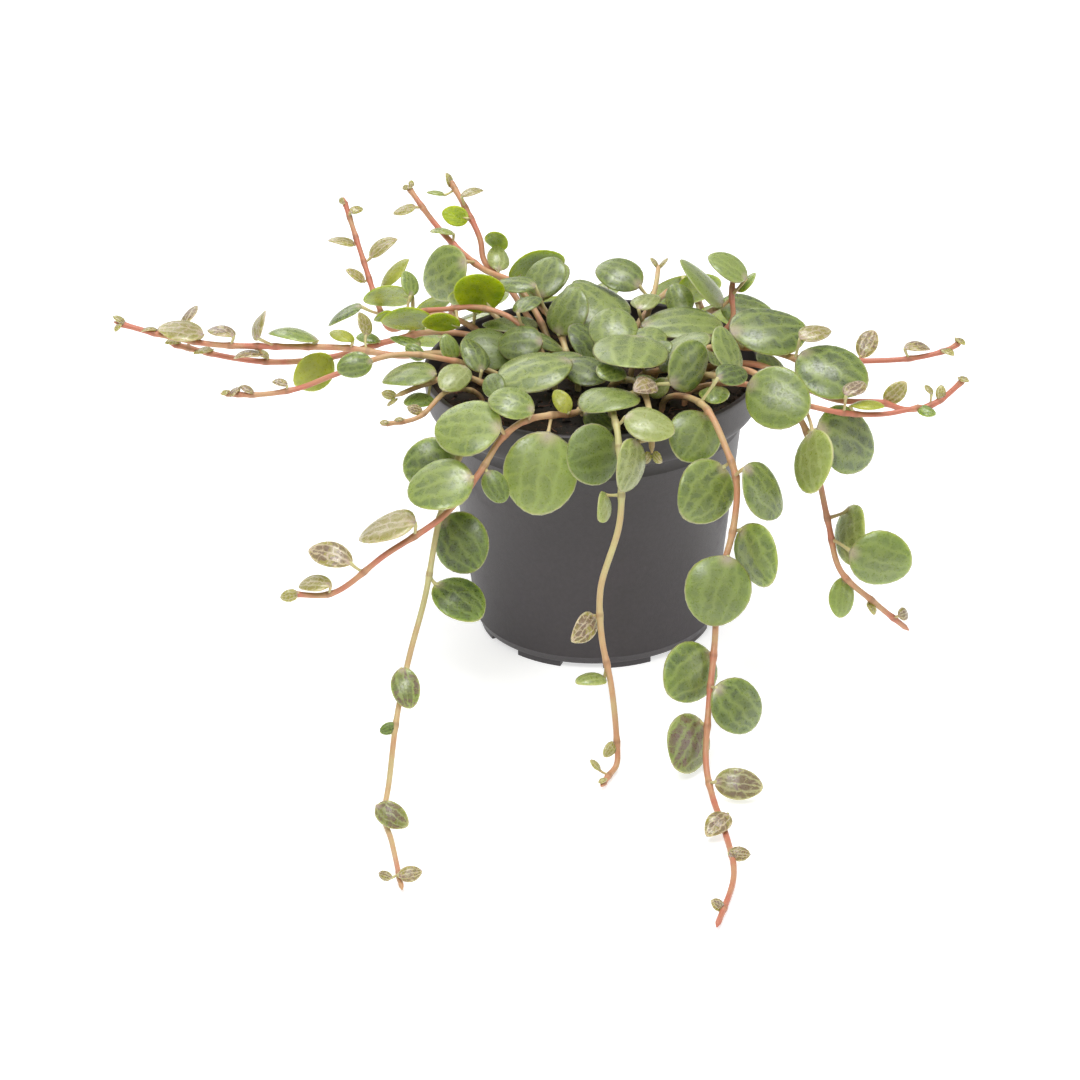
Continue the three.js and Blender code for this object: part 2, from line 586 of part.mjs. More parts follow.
function bladeGeometry(leaf) {
  const profile = [
    [0, -leaf.thickness / 2],
    [1, -BLADE_EDGE / 2],
    [1, BLADE_EDGE / 2],
    [0, leaf.thickness / 2],
  ].map(([radius, height]) => new THREE.Vector2(radius, height));
  const sides = leaf.half > 5 ? BLADE_SIDES : YOUNG_BLADE_SIDES;
  const disc = new THREE.LatheGeometry(profile, sides);
  return moveVertices(disc, (point) => bladePoint(leaf, point.x, point.z, point.y));
}

function petioleGeometry(leaf) {
  const radiusAt = (share) => PETIOLE_BASE_RADIUS + (PETIOLE_END_RADIUS - PETIOLE_BASE_RADIUS) * share;
  const line = new THREE.LineCurve3(leaf.node, leaf.foot);
  return bentRod(line, leaf.normal, PETIOLE_SIDES, 1, radiusAt);
}

// Whether a point that needs some room round it is too near to a leaf's blade.
function nearBlade(leaf, point, room) {
  const offset = point.clone().sub(leaf.centre);
  const along = offset.dot(leaf.long) / leaf.half;
  const spread = leaf.half * leaf.width * (1 - BLADE_EGG * along);
  const across = offset.dot(leaf.across) / spread;
  const reach = across * across + along * along;
  const margin = 1 + 0.9 / leaf.half;
  if (reach > margin * margin) {
    return false;
  }
  const height = offset.dot(leaf.normal) + 2 * leaf.half * BLADE_CUP * reach;
  return Math.abs(height) < leaf.thickness / 2 + room;
}

function nearPot(point) {
  const radius = Math.hypot(point.x, point.y);
  const bandBottom = POT_HEIGHT - RIM_BAND_HEIGHT;
  if (point.z > POT_HEIGHT + POT_CLEARANCE) {
    return false;
  }
  if (point.z < FLOOR_CLEARANCE) {
    return true;
  }
  if (radius < RIM_RADIUS - RIM_WALL - POT_CLEARANCE) {
    return point.z < SOIL_TOP + 2 * POT_CLEARANCE;
  }
  if (point.z > bandBottom - POT_CLEARANCE) {
    return radius < RIM_RADIUS + POT_CLEARANCE;
  }
  const share = point.z / bandBottom;
  return radius < BODY_BASE_RADIUS + (BODY_TOP_RADIUS - BODY_BASE_RADIUS) * share + POT_CLEARANCE;
}

function leavesMeet(leaf, other) {
  if (leaf.centre.distanceTo(other.centre) > leaf.half + other.half + 2) {
    return false;
  }
  return leaf.samples.some((point) => nearBlade(other, point, BLADE_ROOM))
    || other.samples.some((point) => nearBlade(leaf, point, BLADE_ROOM));
}

function petiolesMeet(leaf, other) {
  return leaf.petiole.some((point) => (
    other.petiole.some((far) => point.distanceTo(far) < 2 * PETIOLE_ROOM)
  ));
}

function isClear(leaf, placed, stems) {
  if (leaf.samples.some(nearPot) || leaf.petiole.slice(1).some(nearPot)) {
    return false;
  }
  for (const stem of stems) {
    const own = stem === leaf.stem;
    if (own && leaf.half < BUD_HALF) {
      continue;
    }
    const room = stem.plan.radius + (own ? 0 : STEM_ROOM);
    if (stem.samples.some((point) => nearBlade(leaf, point, room))) {
      return false;
    }
    const reach = stem.plan.radius + PETIOLE_ROOM + STEM_ROOM;
    const touches = (point) => stem.samples.some((far) => point.distanceTo(far) < reach);
    if (!own && leaf.petiole.some(touches)) {
      return false;
    }
  }
  return placed.every((other) => {
    const bothBuds = leaf.half < BUD_HALF && other.half < BUD_HALF;
    if (leaf.stem === other.stem && bothBuds) {
      return true;
    }
    if (leavesMeet(leaf, other)) {
      return false;
    }
    if (leaf.petiole.some((point) => nearBlade(other, point, PETIOLE_ROOM))) {
      return false;
    }
    if (other.petiole.some((point) => nearBlade(leaf, point, PETIOLE_ROOM))) {
      return false;
    }
    return other.stem === leaf.stem || !petiolesMeet(leaf, other);
  });
}

function strainOf({ size, rise, turn, tilt }) {
  const swing = Math.abs(turn) + Math.abs(tilt);
  return Math.abs(rise) + SHRINKING_STRAIN * (1 - size) + TURNING_STRAIN * swing;
}

// The small moves that a leaf may make to grow clear of what is there already, the least first.
const MOVES = SIZE_SHARES.flatMap((size) =>
  RISES.flatMap((rise) => TURNS_AND_TILTS.map(([turn, tilt]) => ({ size, rise, turn, tilt }))),
).sort((one, other) => strainOf(one) - strainOf(other));

// The large leaves take their places first, and the ones that fill the crown come last.
function growLeaves(stems) {
  const named = stems.flatMap((stem) => stem.plan.leaves.map((plan) => [stem, plan]));
  named.sort(([, one], [, other]) => other[2] - one[2]);
  const filling = stems.flatMap((stem) => fillingLeaves(stem).map((plan) => [stem, plan]));
  const placed = [];
  for (const [stem, plan] of [...named, ...filling]) {
    for (const move of MOVES) {
      const leaf = placeLeaf(stem, plan, move);
      if (isClear(leaf, placed, stems)) {
        placed.push(leaf);
        stem.leaves.push(leaf);
        break;
      }
    }
  }
}

function stemSolid(stem) {
  const pieces = [stemRod(stem)];
  for (const leaf of stem.leaves) {
    pieces.push(petioleGeometry(leaf), bladeGeometry(leaf));
  }
  return joined(pieces.map(toSolid));
}

// ---------------------------------------------------------------- the plant in its pot

function node(name, solid, color, roughness) {
  const material = new THREE.MeshStandardMaterial({ color, roughness, metalness: 0 });
  const mesh = new THREE.Mesh(toGeometry(solid), material);
  mesh.name = name;
  return mesh;
}

const stems = Object.entries(STEMS).map(([name, plan]) => makeStem(name, plan));
growLeaves(stems);

const group = new THREE.Group();
group.add(node('pot', potSolid(), 0x4b484b, 0.55));
group.add(node('soil', soilSolid(stems), 0x3a2a20, 0.95));
for (const stem of stems) {
  group.add(node(`stem_${stem.name}`, stemSolid(stem), 0x6f9a52, 0.45));
}

export default group;
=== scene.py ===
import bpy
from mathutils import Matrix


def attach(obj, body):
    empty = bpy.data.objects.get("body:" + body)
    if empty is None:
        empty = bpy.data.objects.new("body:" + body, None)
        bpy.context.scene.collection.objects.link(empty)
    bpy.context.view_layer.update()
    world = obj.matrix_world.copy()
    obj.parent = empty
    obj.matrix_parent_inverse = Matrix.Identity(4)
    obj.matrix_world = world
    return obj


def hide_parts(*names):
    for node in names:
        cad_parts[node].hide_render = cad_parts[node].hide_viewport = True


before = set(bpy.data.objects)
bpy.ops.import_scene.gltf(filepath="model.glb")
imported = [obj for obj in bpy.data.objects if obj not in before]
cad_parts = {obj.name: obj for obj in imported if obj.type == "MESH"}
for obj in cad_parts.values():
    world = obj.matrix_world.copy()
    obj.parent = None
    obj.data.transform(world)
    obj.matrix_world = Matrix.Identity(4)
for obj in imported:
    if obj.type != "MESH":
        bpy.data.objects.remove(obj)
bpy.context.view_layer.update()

import math
import random
from collections import namedtuple
from contextlib import contextmanager

import bpy
import numpy as np
from bpy.props import FloatProperty, FloatVectorProperty, IntProperty, PointerProperty
from mathutils import Matrix, Vector, noise

bl_info = {
    "name": "Trailing Peperomia",
    "version": (1, 0, 0),
    "blender": (4, 5, 0),
    "location": "3D View > Sidebar > Peperomia",
    "description": "A potted peperomia with round patterned leaves, built round its frame",
    "category": "Object",
}

MM = 0.001

# ------------------------------------------------------------------ the plant's plan
# Millimetres, +Z up, with the origin under the pot's axis and the front towards -Y. An azimuth
# of 0 degrees points to the front and 90 to the right.

POT_HEIGHT = 70.4
RIM_RADIUS = 42.5
RIM_BAND_HEIGHT = 10.2
RIM_TAPER = 0.6
RIM_WALL = 1.3
BODY_TOP_RADIUS = 37.8
BODY_BASE_RADIUS = 30.8
BODY_WALL = 1.2
FOOT_HEIGHT = 1.6
FOOT_COUNT = 8
FOOT_WIDTH_DEGREES = 24
FIRST_FOOT_DEGREES = 14
FOOT_DEPTH = 3
CENTRE_BOSS_RADIUS = 6
DRAIN_COUNT = 6
DRAIN_RADIUS = 3
DRAIN_CIRCLE_RADIUS = 19
SOIL_TOP = 65.3

ROOT_BOTTOM = 58
ROOT_TOP = 68
ROOT_GAP = 0.5
STEM_STEP = 10
STEM_TIP_SHARE = 0.6

BLADE_CENTRE = 1.5
YOUNG_CENTRE = 0.5
YOUNG_THICKENING = 0.09
BUD_HALF = 2.6
BLADE_CUP = 0.09
BLADE_EGG = 0.07
MATURE_LENGTH = 11
MATURE_WIDTH = 0.93
YOUNG_WIDTH = 0.72
LEAF_AHEAD = 0.3
LEAF_FOOT = 0.7

BLADE_ROOM = 0.7
EDGE_ROOM = 0.9
PETIOLE_ROOM = 0.75
STEM_ROOM = 0.35
POT_CLEARANCE = 1.2
FLOOR_CLEARANCE = 1.1
SAMPLE_RINGS = (0.4, 0.7, 1.0)
SAMPLES_ROUND = 14
PETIOLE_SAMPLES = 6

SIZE_SHARES = (1, 0.85, 0.7)
RISES = (0, 1.2, -1.2, 2.4, -2.4, 3.6, -3.6, 4.8, 6, 7.2, 8.4)
TURNS_AND_TILTS = ((0, 0), (0, 15), (0, -15), (25, 0), (-25, 0), (25, 20), (-25, -20))
SHRINKING_STRAIN = 12
TURNING_STRAIN = 0.04
DRAW_FACTOR = 16807
DRAW_LIMIT = 2147483647
TURN_SEED = 1009
FILLING_SEED = 7919


def draws(seed):
    """An endless row of even random numbers from 0 to 1."""
    state = seed
    while True:
        state = state * DRAW_FACTOR % DRAW_LIMIT
        yield state / DRAW_LIMIT


def leaves_in_turn(count, longest, shortest, faces):
    """Leaves on alternate sides of a stem, even along it and smaller towards its tip."""
    azimuth, elevation = faces
    draw = draws(count * TURN_SEED + azimuth)
    leaves = []
    for i in range(count):
        share = i / (count - 1)
        side = (-1) ** i * (0.35 + 0.3 * next(draw))
        length = longest + (shortest - longest) * share
        turn = azimuth + 50 * (next(draw) - 0.5)
        leaves.append((0.38 + 0.6 * share, side, length, turn, elevation + 30 * (next(draw) - 0.5)))
    return leaves


# A stem rises straight from its root, at (x, y), and then runs through the points of its route.
# faces: the azimuth and elevation that its leaves mostly face. rise: how far they stand off it.
# fill: how many leaves close the gaps round it. redness: from 0 to 1. shades: a letter for each
# leaf, as SHADES explains. A leaf has its place along the stem from root (0) to tip (1), how far
# it sits to the right in leaf lengths, its own length, and the azimuth and elevation that its
# upper face looks to.
Plan = namedtuple("Plan", "root radius faces rise fill redness shades route leaves")

STEMS = {
    "left_long": Plan(
        (-17, 4), 1.1, (0, 50), 1, 0, 0.85, "dmoksoyyoooo",
        [(-38, 1, 74), (-48, 0, 74), (-62, 1, 76), (-81, 3, 76), (-95, 5, 76), (-108, 7, 78),
         (-120, 9, 81)],
        [(0.14, 0, 16.5, -10, 60), (0.33, 0.5, 8.5, 115, 80), (0.44, 1.1, 6.5, 60, 40),
         (0.48, 0.3, 7, 45, 80), (0.57, 0.1, 12.5, 135, 75), (0.64, 0.5, 9, -80, 50),
         (0.68, 0, 7, 180, 85), (0.74, 0.3, 8, 75, 75), (0.82, 0, 11, -155, 80), (0.91, 0.1, 4, 0, 85),
         (0.98, 0.2, 3.5, 55, 60), (0.98, -0.5, 2.8, -55, 60)],
    ),
    "left_second": Plan(
        (-15, 11), 1, (0, 50), 1, 0, 0.9, "dlmkooyo",
        [(-38, 12, 75), (-52, 11, 73), (-66, 9, 70), (-80, 9, 69), (-91, 10, 70), (-107, 11, 74)],
        [(0.14, 0.4, 15.2, -155, 80), (0.4, 1, 12.7, -175, 40), (0.49, 0.2, 6.1, 35, 75),
         (0.62, -0.3, 11.1, 50, 25), (0.76, 0.4, 4.6, 70, 80), (0.9, 0, 5.1, -100, 85),
         (0.95, 1.2, 7.1, -80, 55), (0.98, 0.1, 3.8, 0, 80)],
    ),
    "left_low": Plan(
        (-21, -5), 0.9, (0, 45), 1, 0, 0.8, "mmmyyyo",
        [(-40, -10, 78), (-50, -11, 79), (-64, -13, 75), (-73, -14, 72), (-83, -15, 71), (-92, -16, 72)],
        [(0.3, 0.5, 6.9, 25, 30), (0.41, 0.1, 5.4, 0, 25), (0.57, 0, 8.9, 0, 25), (0.81, 0.5, 4.2, 0, 80),
         (0.91, 0.3, 3.7, 55, 60), (0.95, 0.1, 3.4, -65, 65), (0.98, 0, 2.2, 0, 70)],
    ),
    "left_upright": Plan(
        (-24, 17), 0.9, (0, 30), 1, 0, 0.85, "lmmokoooo",
        [(-39, 19, 77), (-51, 19, 73), (-54, 24, 77), (-58, 34, 86), (-63, 45, 99)],
        [(0.23, 0.5, 14.2, 175, 45), (0.41, -0.3, 5.6, 0, 55), (0.58, -0.9, 10.2, -90, 60),
         (0.71, -0.5, 5.6, 65, 65), (0.66, 0.6, 10.2, -75, 50), (0.77, 0.7, 8, -50, 60),
         (0.86, -0.4, 6.7, -100, 85), (0.93, 0.6, 3.9, 30, 65), (0.98, -0.3, 2.3, -50, 40)],
    ),
    "back_left_high": Plan(
        (-10, 13), 1, (0, 35), 1, 0, 0.85, "spooo",
        [(-15, 21, 78), (-20, 27, 82), (-27, 33, 83), (-34, 41, 86), (-40, 49, 90), (-47, 58, 97)],
        [(0.59, -0.5, 15.5, -45, 35), (0.71, -0.4, 6.2, 115, 80), (0.9, -0.7, 6, -50, 70),
         (0.98, -0.3, 2.4, -50, 40), (0.98, 0.5, 2.4, 40, 60)],
    ),
    "back_left_tall": Plan(
        (-13, 18), 1, (0, 25), 1, 0, 0.85, "pllopo",
        [(-20, 30, 78), (-27, 39, 83), (-28, 42, 88), (-32, 48, 95), (-36, 55, 100)],
        [(0.52, 0.4, 9.8, 55, 60), (0.56, 0.4, 12.4, -170, 35), (0.79, -0.4, 7.5, -180, -25),
         (0.84, 0.5, 6.2, -80, 70), (0.94, -1, 4.7, 115, 80), (0.96, 0, 3.9, 55, 15)],
    ),
    "crown_left": Plan(
        (-10, -3), 0.9, (0, 70), 2, 1, 0.8, "dlllms",
        [(-18, 4, 80), (-27, 8, 83), (-38, 10, 82), (-48, 13, 80)],
        [(0.31, -0.4, 11, -15, 65), (0.62, 0.5, 13.6, -175, 20), (0.75, -0.6, 10, -170, 30),
         (0.88, -0.3, 13.1, -175, 40), (1, -0.9, 6, -175, 30), (0.97, 0.9, 7.6, 55, 60)],
    ),
    "left_short": Plan(
        (-28, -13), 0.8, (0, 40), 0.5, 0, 0.6, "yoo",
        [(-36, -22, 74), (-43, -28, 70), (-52, -32, 70)],
        [(0.74, 0.4, 3.7, 40, 25), (0.88, 0.2, 2.4, 0, 80), (0.97, 0.2, 2.2, 0, 70)],
    ),
    "crown_left_low": Plan(
        (-24, -12), 0.9, (0, 60), 2, 1, 0.5, "pmd",
        [(-33, -15, 75), (-42, -18, 74), (-49, -20, 72)],
        [(0.56, -0.3, 10.8, 35, 50), (0.76, 0.3, 13.7, -55, 80), (0.76, -0.2, 11.2, 75, 80)],
    ),
    "crown_back_left": Plan(
        (-6, 4), 1, (0, 70), 5, 4, 0.4, "mmsl",
        [(-8, 13, 74), (-12, 25, 75), (-16, 37, 75)],
        [(0.3, -0.4, 10, 55, 60), (0.41, 0.2, 13.1, -40, 25), (0.78, 0.2, 15.4, -60, 65),
         (1, 0.3, 15.1, -165, 30)],
    ),
    "crown_back": Plan(
        (4, 8), 1, (0, 70), 4, 2, 0.5, "s",
        [(5, 16, 74), (5, 28, 75), (4, 40, 74)],
        [(0.44, -0.2, 18.8, 35, 55)],
    ),
    "crown_back_middle": Plan(
        (12, 14), 0.9, (0, 75), 3, 2, 0.5, "p",
        [(15, 21, 76), (17, 28, 80), (18, 36, 82)],
        [(0.43, 0, 10.2, 35, 75)],
    ),
    "crown_centre": Plan(
        (6, -2), 1, (0, 65), 2, 2, 0.4, "sd",
        [(7, -8, 76), (9, -16, 80), (12, -23, 82)],
        [(0.8, 0.1, 19.9, 65, 70), (0.29, -0.8, 12.5, 55, 60)],
    ),
    "crown_middle": Plan(
        (-4, -4), 1, (0, 65), 3, 3, 0.3, "ds",
        [(-6, -11, 73), (-9, -19, 75), (-14, -26, 77)],
        [(0.58, -0.5, 11.8, 0, 75), (0.8, 0.2, 19, -40, 80)],
    ),
    "crown_front": Plan(
        (4, -10), 1, (0, 50), 3, 2, 0.4, "mydms",
        [(9, -20, 75), (12, -31, 76), (13, -42, 73), (13, -47, 68)],
        [(0.62, 0.6, 15.4, -15, 75), (0.64, 0, 7.7, 60, 40), (0.93, 0.9, 15.7, 40, 25),
         (0.56, -0.8, 16, 40, 25), (0.23, -1.1, 13.4, 0, 65)],
    ),
    "crown_front_right": Plan(
        (11, -5), 1, (0, 45), 3, 3, 0.5, "sps",
        [(18, -12, 74), (25, -19, 76), (32, -24, 77)],
        [(0.33, -0.8, 12.4, 95, 80), (0.6, 1.2, 5.9, 0, 25), (0.91, -0.5, 12.6, 40, 35)],
    ),
    "crown_right_back": Plan(
        (10, 3), 0.9, (0, 75), 3, 3, 0.6, "ss",
        [(17, 10, 73), (25, 18, 74), (33, 28, 73)],
        [(0.43, 0.2, 20.7, 170, 75), (0.27, 0.4, 11, 0, 85)],
    ),
    "crown_right": Plan(
        (16, 0), 1, (0, 60), 3, 3, 0.7, "mom",
        [(28, -2, 75), (40, -7, 77), (52, -14, 76), (60, -20, 74)],
        [(0.57, -0.2, 19.3, 25, 55), (0.79, -0.6, 8.9, 180, 85), (0.88, 0, 18.6, 10, 65)],
    ),
    "right_upright": Plan(
        (20, 14), 0.9, (0, 35), 1, 0, 0.75, "ssso",
        [(33, 17, 71), (36, 18, 74), (36, 21, 80), (37, 25, 86)],
        [(0.8, -0.4, 16.3, 85, 60), (0.82, -0.3, 11.2, 55, 60), (0.86, 0.5, 6.4, -75, 55),
         (0.96, -0.1, 2.5, 0, 70)],
    ),
    "right_upper": Plan(
        (22, 5), 0.9, (0, 50), 1, 0, 1.0, "syyoo",
        [(38, 2, 74), (49, -1, 72), (59, -4, 72), (68, -5, 72), (80, -6, 73), (88, -6, 75), (92, -5, 77)],
        [(0.37, 0.4, 15, 85, 60), (0.68, -0.6, 7.5, 0, 45), (0.83, -0.2, 6.7, 65, 65),
         (0.93, 0.3, 4, 0, 85), (0.98, 0.1, 3, 50, 70)],
    ),
    "right_mid": Plan(
        (25, -3), 1, (0, 45), 1, 0, 1.0, "oooo",
        [(40, -10, 74), (52, -16, 70), (60, -17, 67), (71, -17, 66), (77, -17, 64), (84, -16, 65),
         (92, -14, 71)],
        [(0.73, -0.5, 6.9, 0, 25), (0.87, -1, 3.2, 55, 60), (0.9, -0.3, 3.7, 0, 25), (0.98, 0, 3, 0, 80)],
    ),
    "right_low": Plan(
        (23, -14), 0.9, (0, 45), 1, 0, 0.95, "mykps",
        [(37, -24, 75), (45, -29, 73), (52, -31, 72), (60, -31, 70), (70, -30, 69), (80, -28, 70)],
        [(0.45, 0, 16.5, -40, 35), (0.73, -0.6, 7.3, 10, 80), (0.77, 0, 8.2, 180, 85),
         (0.59, 0.9, 15.9, -65, 25), (0.98, 0.3, 5.1, 0, 70)],
    ),
    "front_left": Plan(
        (-3, -20), 1.2, (0, 30), 1, 0, 0.8, "dksssdsoyoo",
        [(-5, -34, 73), (-17, -42, 75), (-23, -46, 72), (-28, -51, 66), (-37, -56, 57), (-51, -60, 49),
         (-64, -62, 40), (-74, -62, 40)],
        [(0.19, -0.7, 8.2, 0, 55), (0.25, 0.4, 6.2, 0, 25), (0.35, 0.4, 11, -5, 45),
         (0.29, -0.7, 19.6, 0, 25), (0.41, 0.5, 16.7, 0, 55), (0.49, -0.5, 10, 0, 25),
         (0.54, 0.3, 16.2, 0, 60), (0.7, 0.4, 14.3, -80, 70), (0.83, 0.8, 10.5, 0, 65),
         (0.92, 0.3, 8.1, -50, 70), (0.99, -0.1, 4.3, 0, 25)],
    ),
    "front_left_trailing": Plan(
        (-16, -19), 0.9, (0, 30), 1, 0, 0.3, "dmddhdvyy",
        [(-27, -36, 75), (-33, -44, 67), (-38, -50, 54), (-42, -59, 37), (-46, -69, 26), (-49, -83, 17),
         (-51, -92, 5), (-52, -101, 1.6), (-50, -112, 1.5), (-47, -133, 1.5)],
        [(0.14, 0.5, 8.2, -40, 60), (0.27, 0.4, 13.9, 0, 40), (0.36, -0.4, 15.3, 0, 25),
         (0.44, -0.6, 13.9, 35, 60), (0.6, -0.1, 9.7, 0, 25), (0.67, 0.4, 4.2, 0, 25),
         (0.81, -0.2, 8.4, 0, 25), (0.96, 0.3, 3.4, 0, 25), (0.97, -0.5, 5.2, 0, 25)],
    ),
    "front_trailing": Plan(
        (4, -21), 1, (0, 30), 1, 0, 0.3, "pppypooo",
        [(4, -38, 75), (5, -47, 72), (5, -56, 55), (0, -63, 40), (0, -68, 30), (2, -74, 20), (3, -78, 9),
         (3, -81, 2.4), (1, -85, 1.6), (-1, -90, 1.6)],
        [(0.27, -0.6, 12.4, 0, 50), (0.32, 0, 15.2, 80, 10), (0.41, 0.4, 9, 70, 20),
         (0.64, 0.4, 9, 45, 25), (0.73, 0.5, 8.6, -95, 80), (0.88, 0.3, 5.2, 30, 25),
         (0.96, 1.1, 3.6, 70, 40), (0.99, 0.3, 2.1, 0, 70)],
    ),
    "front_right_long": Plan(
        (17, -18), 1.1, (0, 30), 1, 0, 0.85, "dmmmsmmmhbyyy",
        [(26, -36, 75), (31, -47, 68), (33, -51, 62), (32, -56, 52), (28, -63, 40), (27, -68, 28),
         (25, -78, 15), (24, -86, 5), (25, -96, 1.8), (27, -111, 1.6), (28, -130, 1.6), (23, -151, 1.5)],
        [(0.16, -1.1, 9.6, 55, 60), (0.18, 0.3, 14.3, 0, 25), (0.26, 0.5, 16, 0, 25),
         (0.28, -0.4, 15.2, 55, 30), (0.35, -0.4, 15.7, -50, 25), (0.4, 0, 17.1, 30, 25),
         (0.51, 0.3, 15.7, 35, 25), (0.55, -0.5, 14.2, 0, 25), (0.6, 0.2, 14.7, 20, 25),
         (0.68, -0.6, 10.8, 0, 25), (0.77, 0.2, 7.9, 20, 50), (0.84, -0.3, 5.7, 0, 25),
         (0.96, 0.4, 4, 45, 20)],
    ),
    "right_hanging": Plan(
        (26, -8), 1, (0, 30), 1, 0, 0.75, "mpmsoy",
        [(38, -16, 75), (50, -25, 66), (54, -28, 54), (57, -31, 40), (60, -33, 28), (69, -32, 18),
         (78, -28, 8)],
        [(0.43, -0.5, 18.6, 20, 25), (0.63, -0.2, 15.3, -45, 40), (0.68, -0.7, 15.3, 0, 25),
         (0.78, 0.4, 9.9, 0, 25), (0.86, 0.4, 3.7, 55, 60), (0.94, -0.5, 4.8, 60, 30)],
    ),
    "back_hanging": Plan(
        (-3, 24), 1, (180, 30), 1, 0, 0.7, "msmshby",
        [(-3, 38, 75), (-4, 50, 70), (-6, 58, 50), (-8, 64, 30), (-9, 68, 12)],
        leaves_in_turn(7, 17, 7, (180, 30)),
    ),
    "back_right": Plan(
        (10, 20), 1, (150, 35), 1, 0, 0.7, "smsmhby",
        [(20, 34, 75), (28, 44, 69), (32, 52, 54), (34, 57, 38)],
        leaves_in_turn(7, 17, 6, (150, 35)),
    ),
    "back_left": Plan(
        (-20, 21), 0.9, (200, 35), 1, 0, 0.7, "mssmhby",
        [(-29, 32, 75), (-35, 42, 70), (-37, 52, 56), (-37, 58, 38)],
        leaves_in_turn(7, 16, 6, (200, 35)),
    ),
}


def filling_leaves(stem):
    """Leaves of middling size that close the gaps of the crown, where they find room."""
    count = stem.plan.fill
    draw = draws(FILLING_SEED + math.floor(stem.route.length * 100 + 0.5))
    leaves = []
    for i in range(count):
        along = 0.35 + 0.6 * (i + next(draw)) / count
        side = (-1) ** i * (0.3 + 0.5 * next(draw))
        length = 10 + 5 * next(draw)
        azimuth = 180 * (next(draw) - 0.5)
        leaves.append((along, side, length, azimuth, 40 + 40 * next(draw)))
    return leaves


def facing(azimuth, elevation):
    turn = math.radians(azimuth)
    lift = math.radians(elevation)
    flat = math.cos(lift)
    return np.array([math.sin(turn) * flat, -math.cos(turn) * flat, math.sin(lift)])


def square_to(vector, axis):
    return vector - (vector @ axis) * axis


def unit(vector):
    return vector / math.sqrt(vector @ vector)


class Route:
    """A smooth line through given points, paced evenly by its own length."""

    PARTS = 200

    def __init__(self, points):
        self.points = [np.array(point, float) for point in points]
        dots = np.array([self.raw(i / self.PARTS) for i in range(self.PARTS + 1)])
        steps = np.linalg.norm(np.diff(dots, axis=0), axis=1)
        self.lengths = np.concatenate([[0.0], np.cumsum(steps)])
        self.length = float(self.lengths[-1])

    def raw(self, share):
        """A point of a centripetal Catmull-Rom curve, by its share of the curve's own measure."""
        points = self.points
        last = len(points) - 1
        place = last * share
        i = int(math.floor(place))
        weight = place - i
        if i >= last:
            i, weight = last - 1, 1.0
        here, there = points[i], points[i + 1]
        before = points[i - 1] if i > 0 else 2 * points[0] - points[1]
        after = points[i + 2] if i + 2 <= last else 2 * points[last] - points[last - 1]
        gap0, gap1, gap2 = (
            (step @ step) ** 0.25 for step in (here - before, there - here, after - there)
        )
        pull0 = (here - before) / gap0 - (there - before) / (gap0 + gap1) + (there - here) / gap1
        pull1 = (there - here) / gap1 - (after - here) / (gap1 + gap2) + (after - there) / gap2
        pull0, pull1 = pull0 * gap1, pull1 * gap1
        square = -3 * here + 3 * there - 2 * pull0 - pull1
        cube = 2 * here - 2 * there + pull0 + pull1
        return here + pull0 * weight + square * weight ** 2 + cube * weight ** 3

    def pace(self, share):
        wanted = share * self.length
        i = int(np.searchsorted(self.lengths, wanted, side="right")) - 1
        i = min(max(i, 0), self.PARTS - 1)
        part = (wanted - self.lengths[i]) / (self.lengths[i + 1] - self.lengths[i])
        return (i + part) / self.PARTS

    def at(self, share):
        return self.raw(self.pace(share))

    def tangent(self, share):
        place = self.pace(share)
        low, high = max(0.0, place - 0.0001), min(1.0, place + 0.0001)
        return unit(self.raw(high) - self.raw(low))


class Stem:
    """One stem as it is planned, with the leaves that it is given later."""

    SAMPLE_STEP = 2

    def __init__(self, name, plan):
        self.name = name
        self.plan = plan
        x, y = plan.root
        self.route = Route([(x, y, ROOT_BOTTOM), (x, y, ROOT_TOP), *plan.route])
        length = self.route.length
        count = math.ceil(length / self.SAMPLE_STEP)
        self.samples = np.array([self.route.at(i / count) for i in range(count + 1)])
        self.steps = math.ceil(length / STEM_STEP)
        self.start = ROOT_GAP / length
        self.leaves = []

    def middle(self, share):
        """The middle of the stem where a leaf stands, which cuts the bends a little short."""
        place = max(0.0, self.steps * (share - self.start) / (1 - self.start))
        ring = min(math.floor(place), self.steps - 1)
        ends = [
            self.route.at(min(1.0, self.start + (1 - self.start) * i / self.steps))
            for i in (ring, ring + 1)
        ]
        return ends[0] + (ends[1] - ends[0]) * (place - ring)


def blade_samples():
    """Places on a blade, across and along, where it is tested for room."""
    rows = [(0.0, 0.0)]
    for ring in SAMPLE_RINGS:
        for i in range(SAMPLES_ROUND):
            angle = 2 * math.pi * i / SAMPLES_ROUND
            rows.append((ring * math.sin(angle), ring * math.cos(angle)))
    return np.array(rows)


SAMPLES = blade_samples()


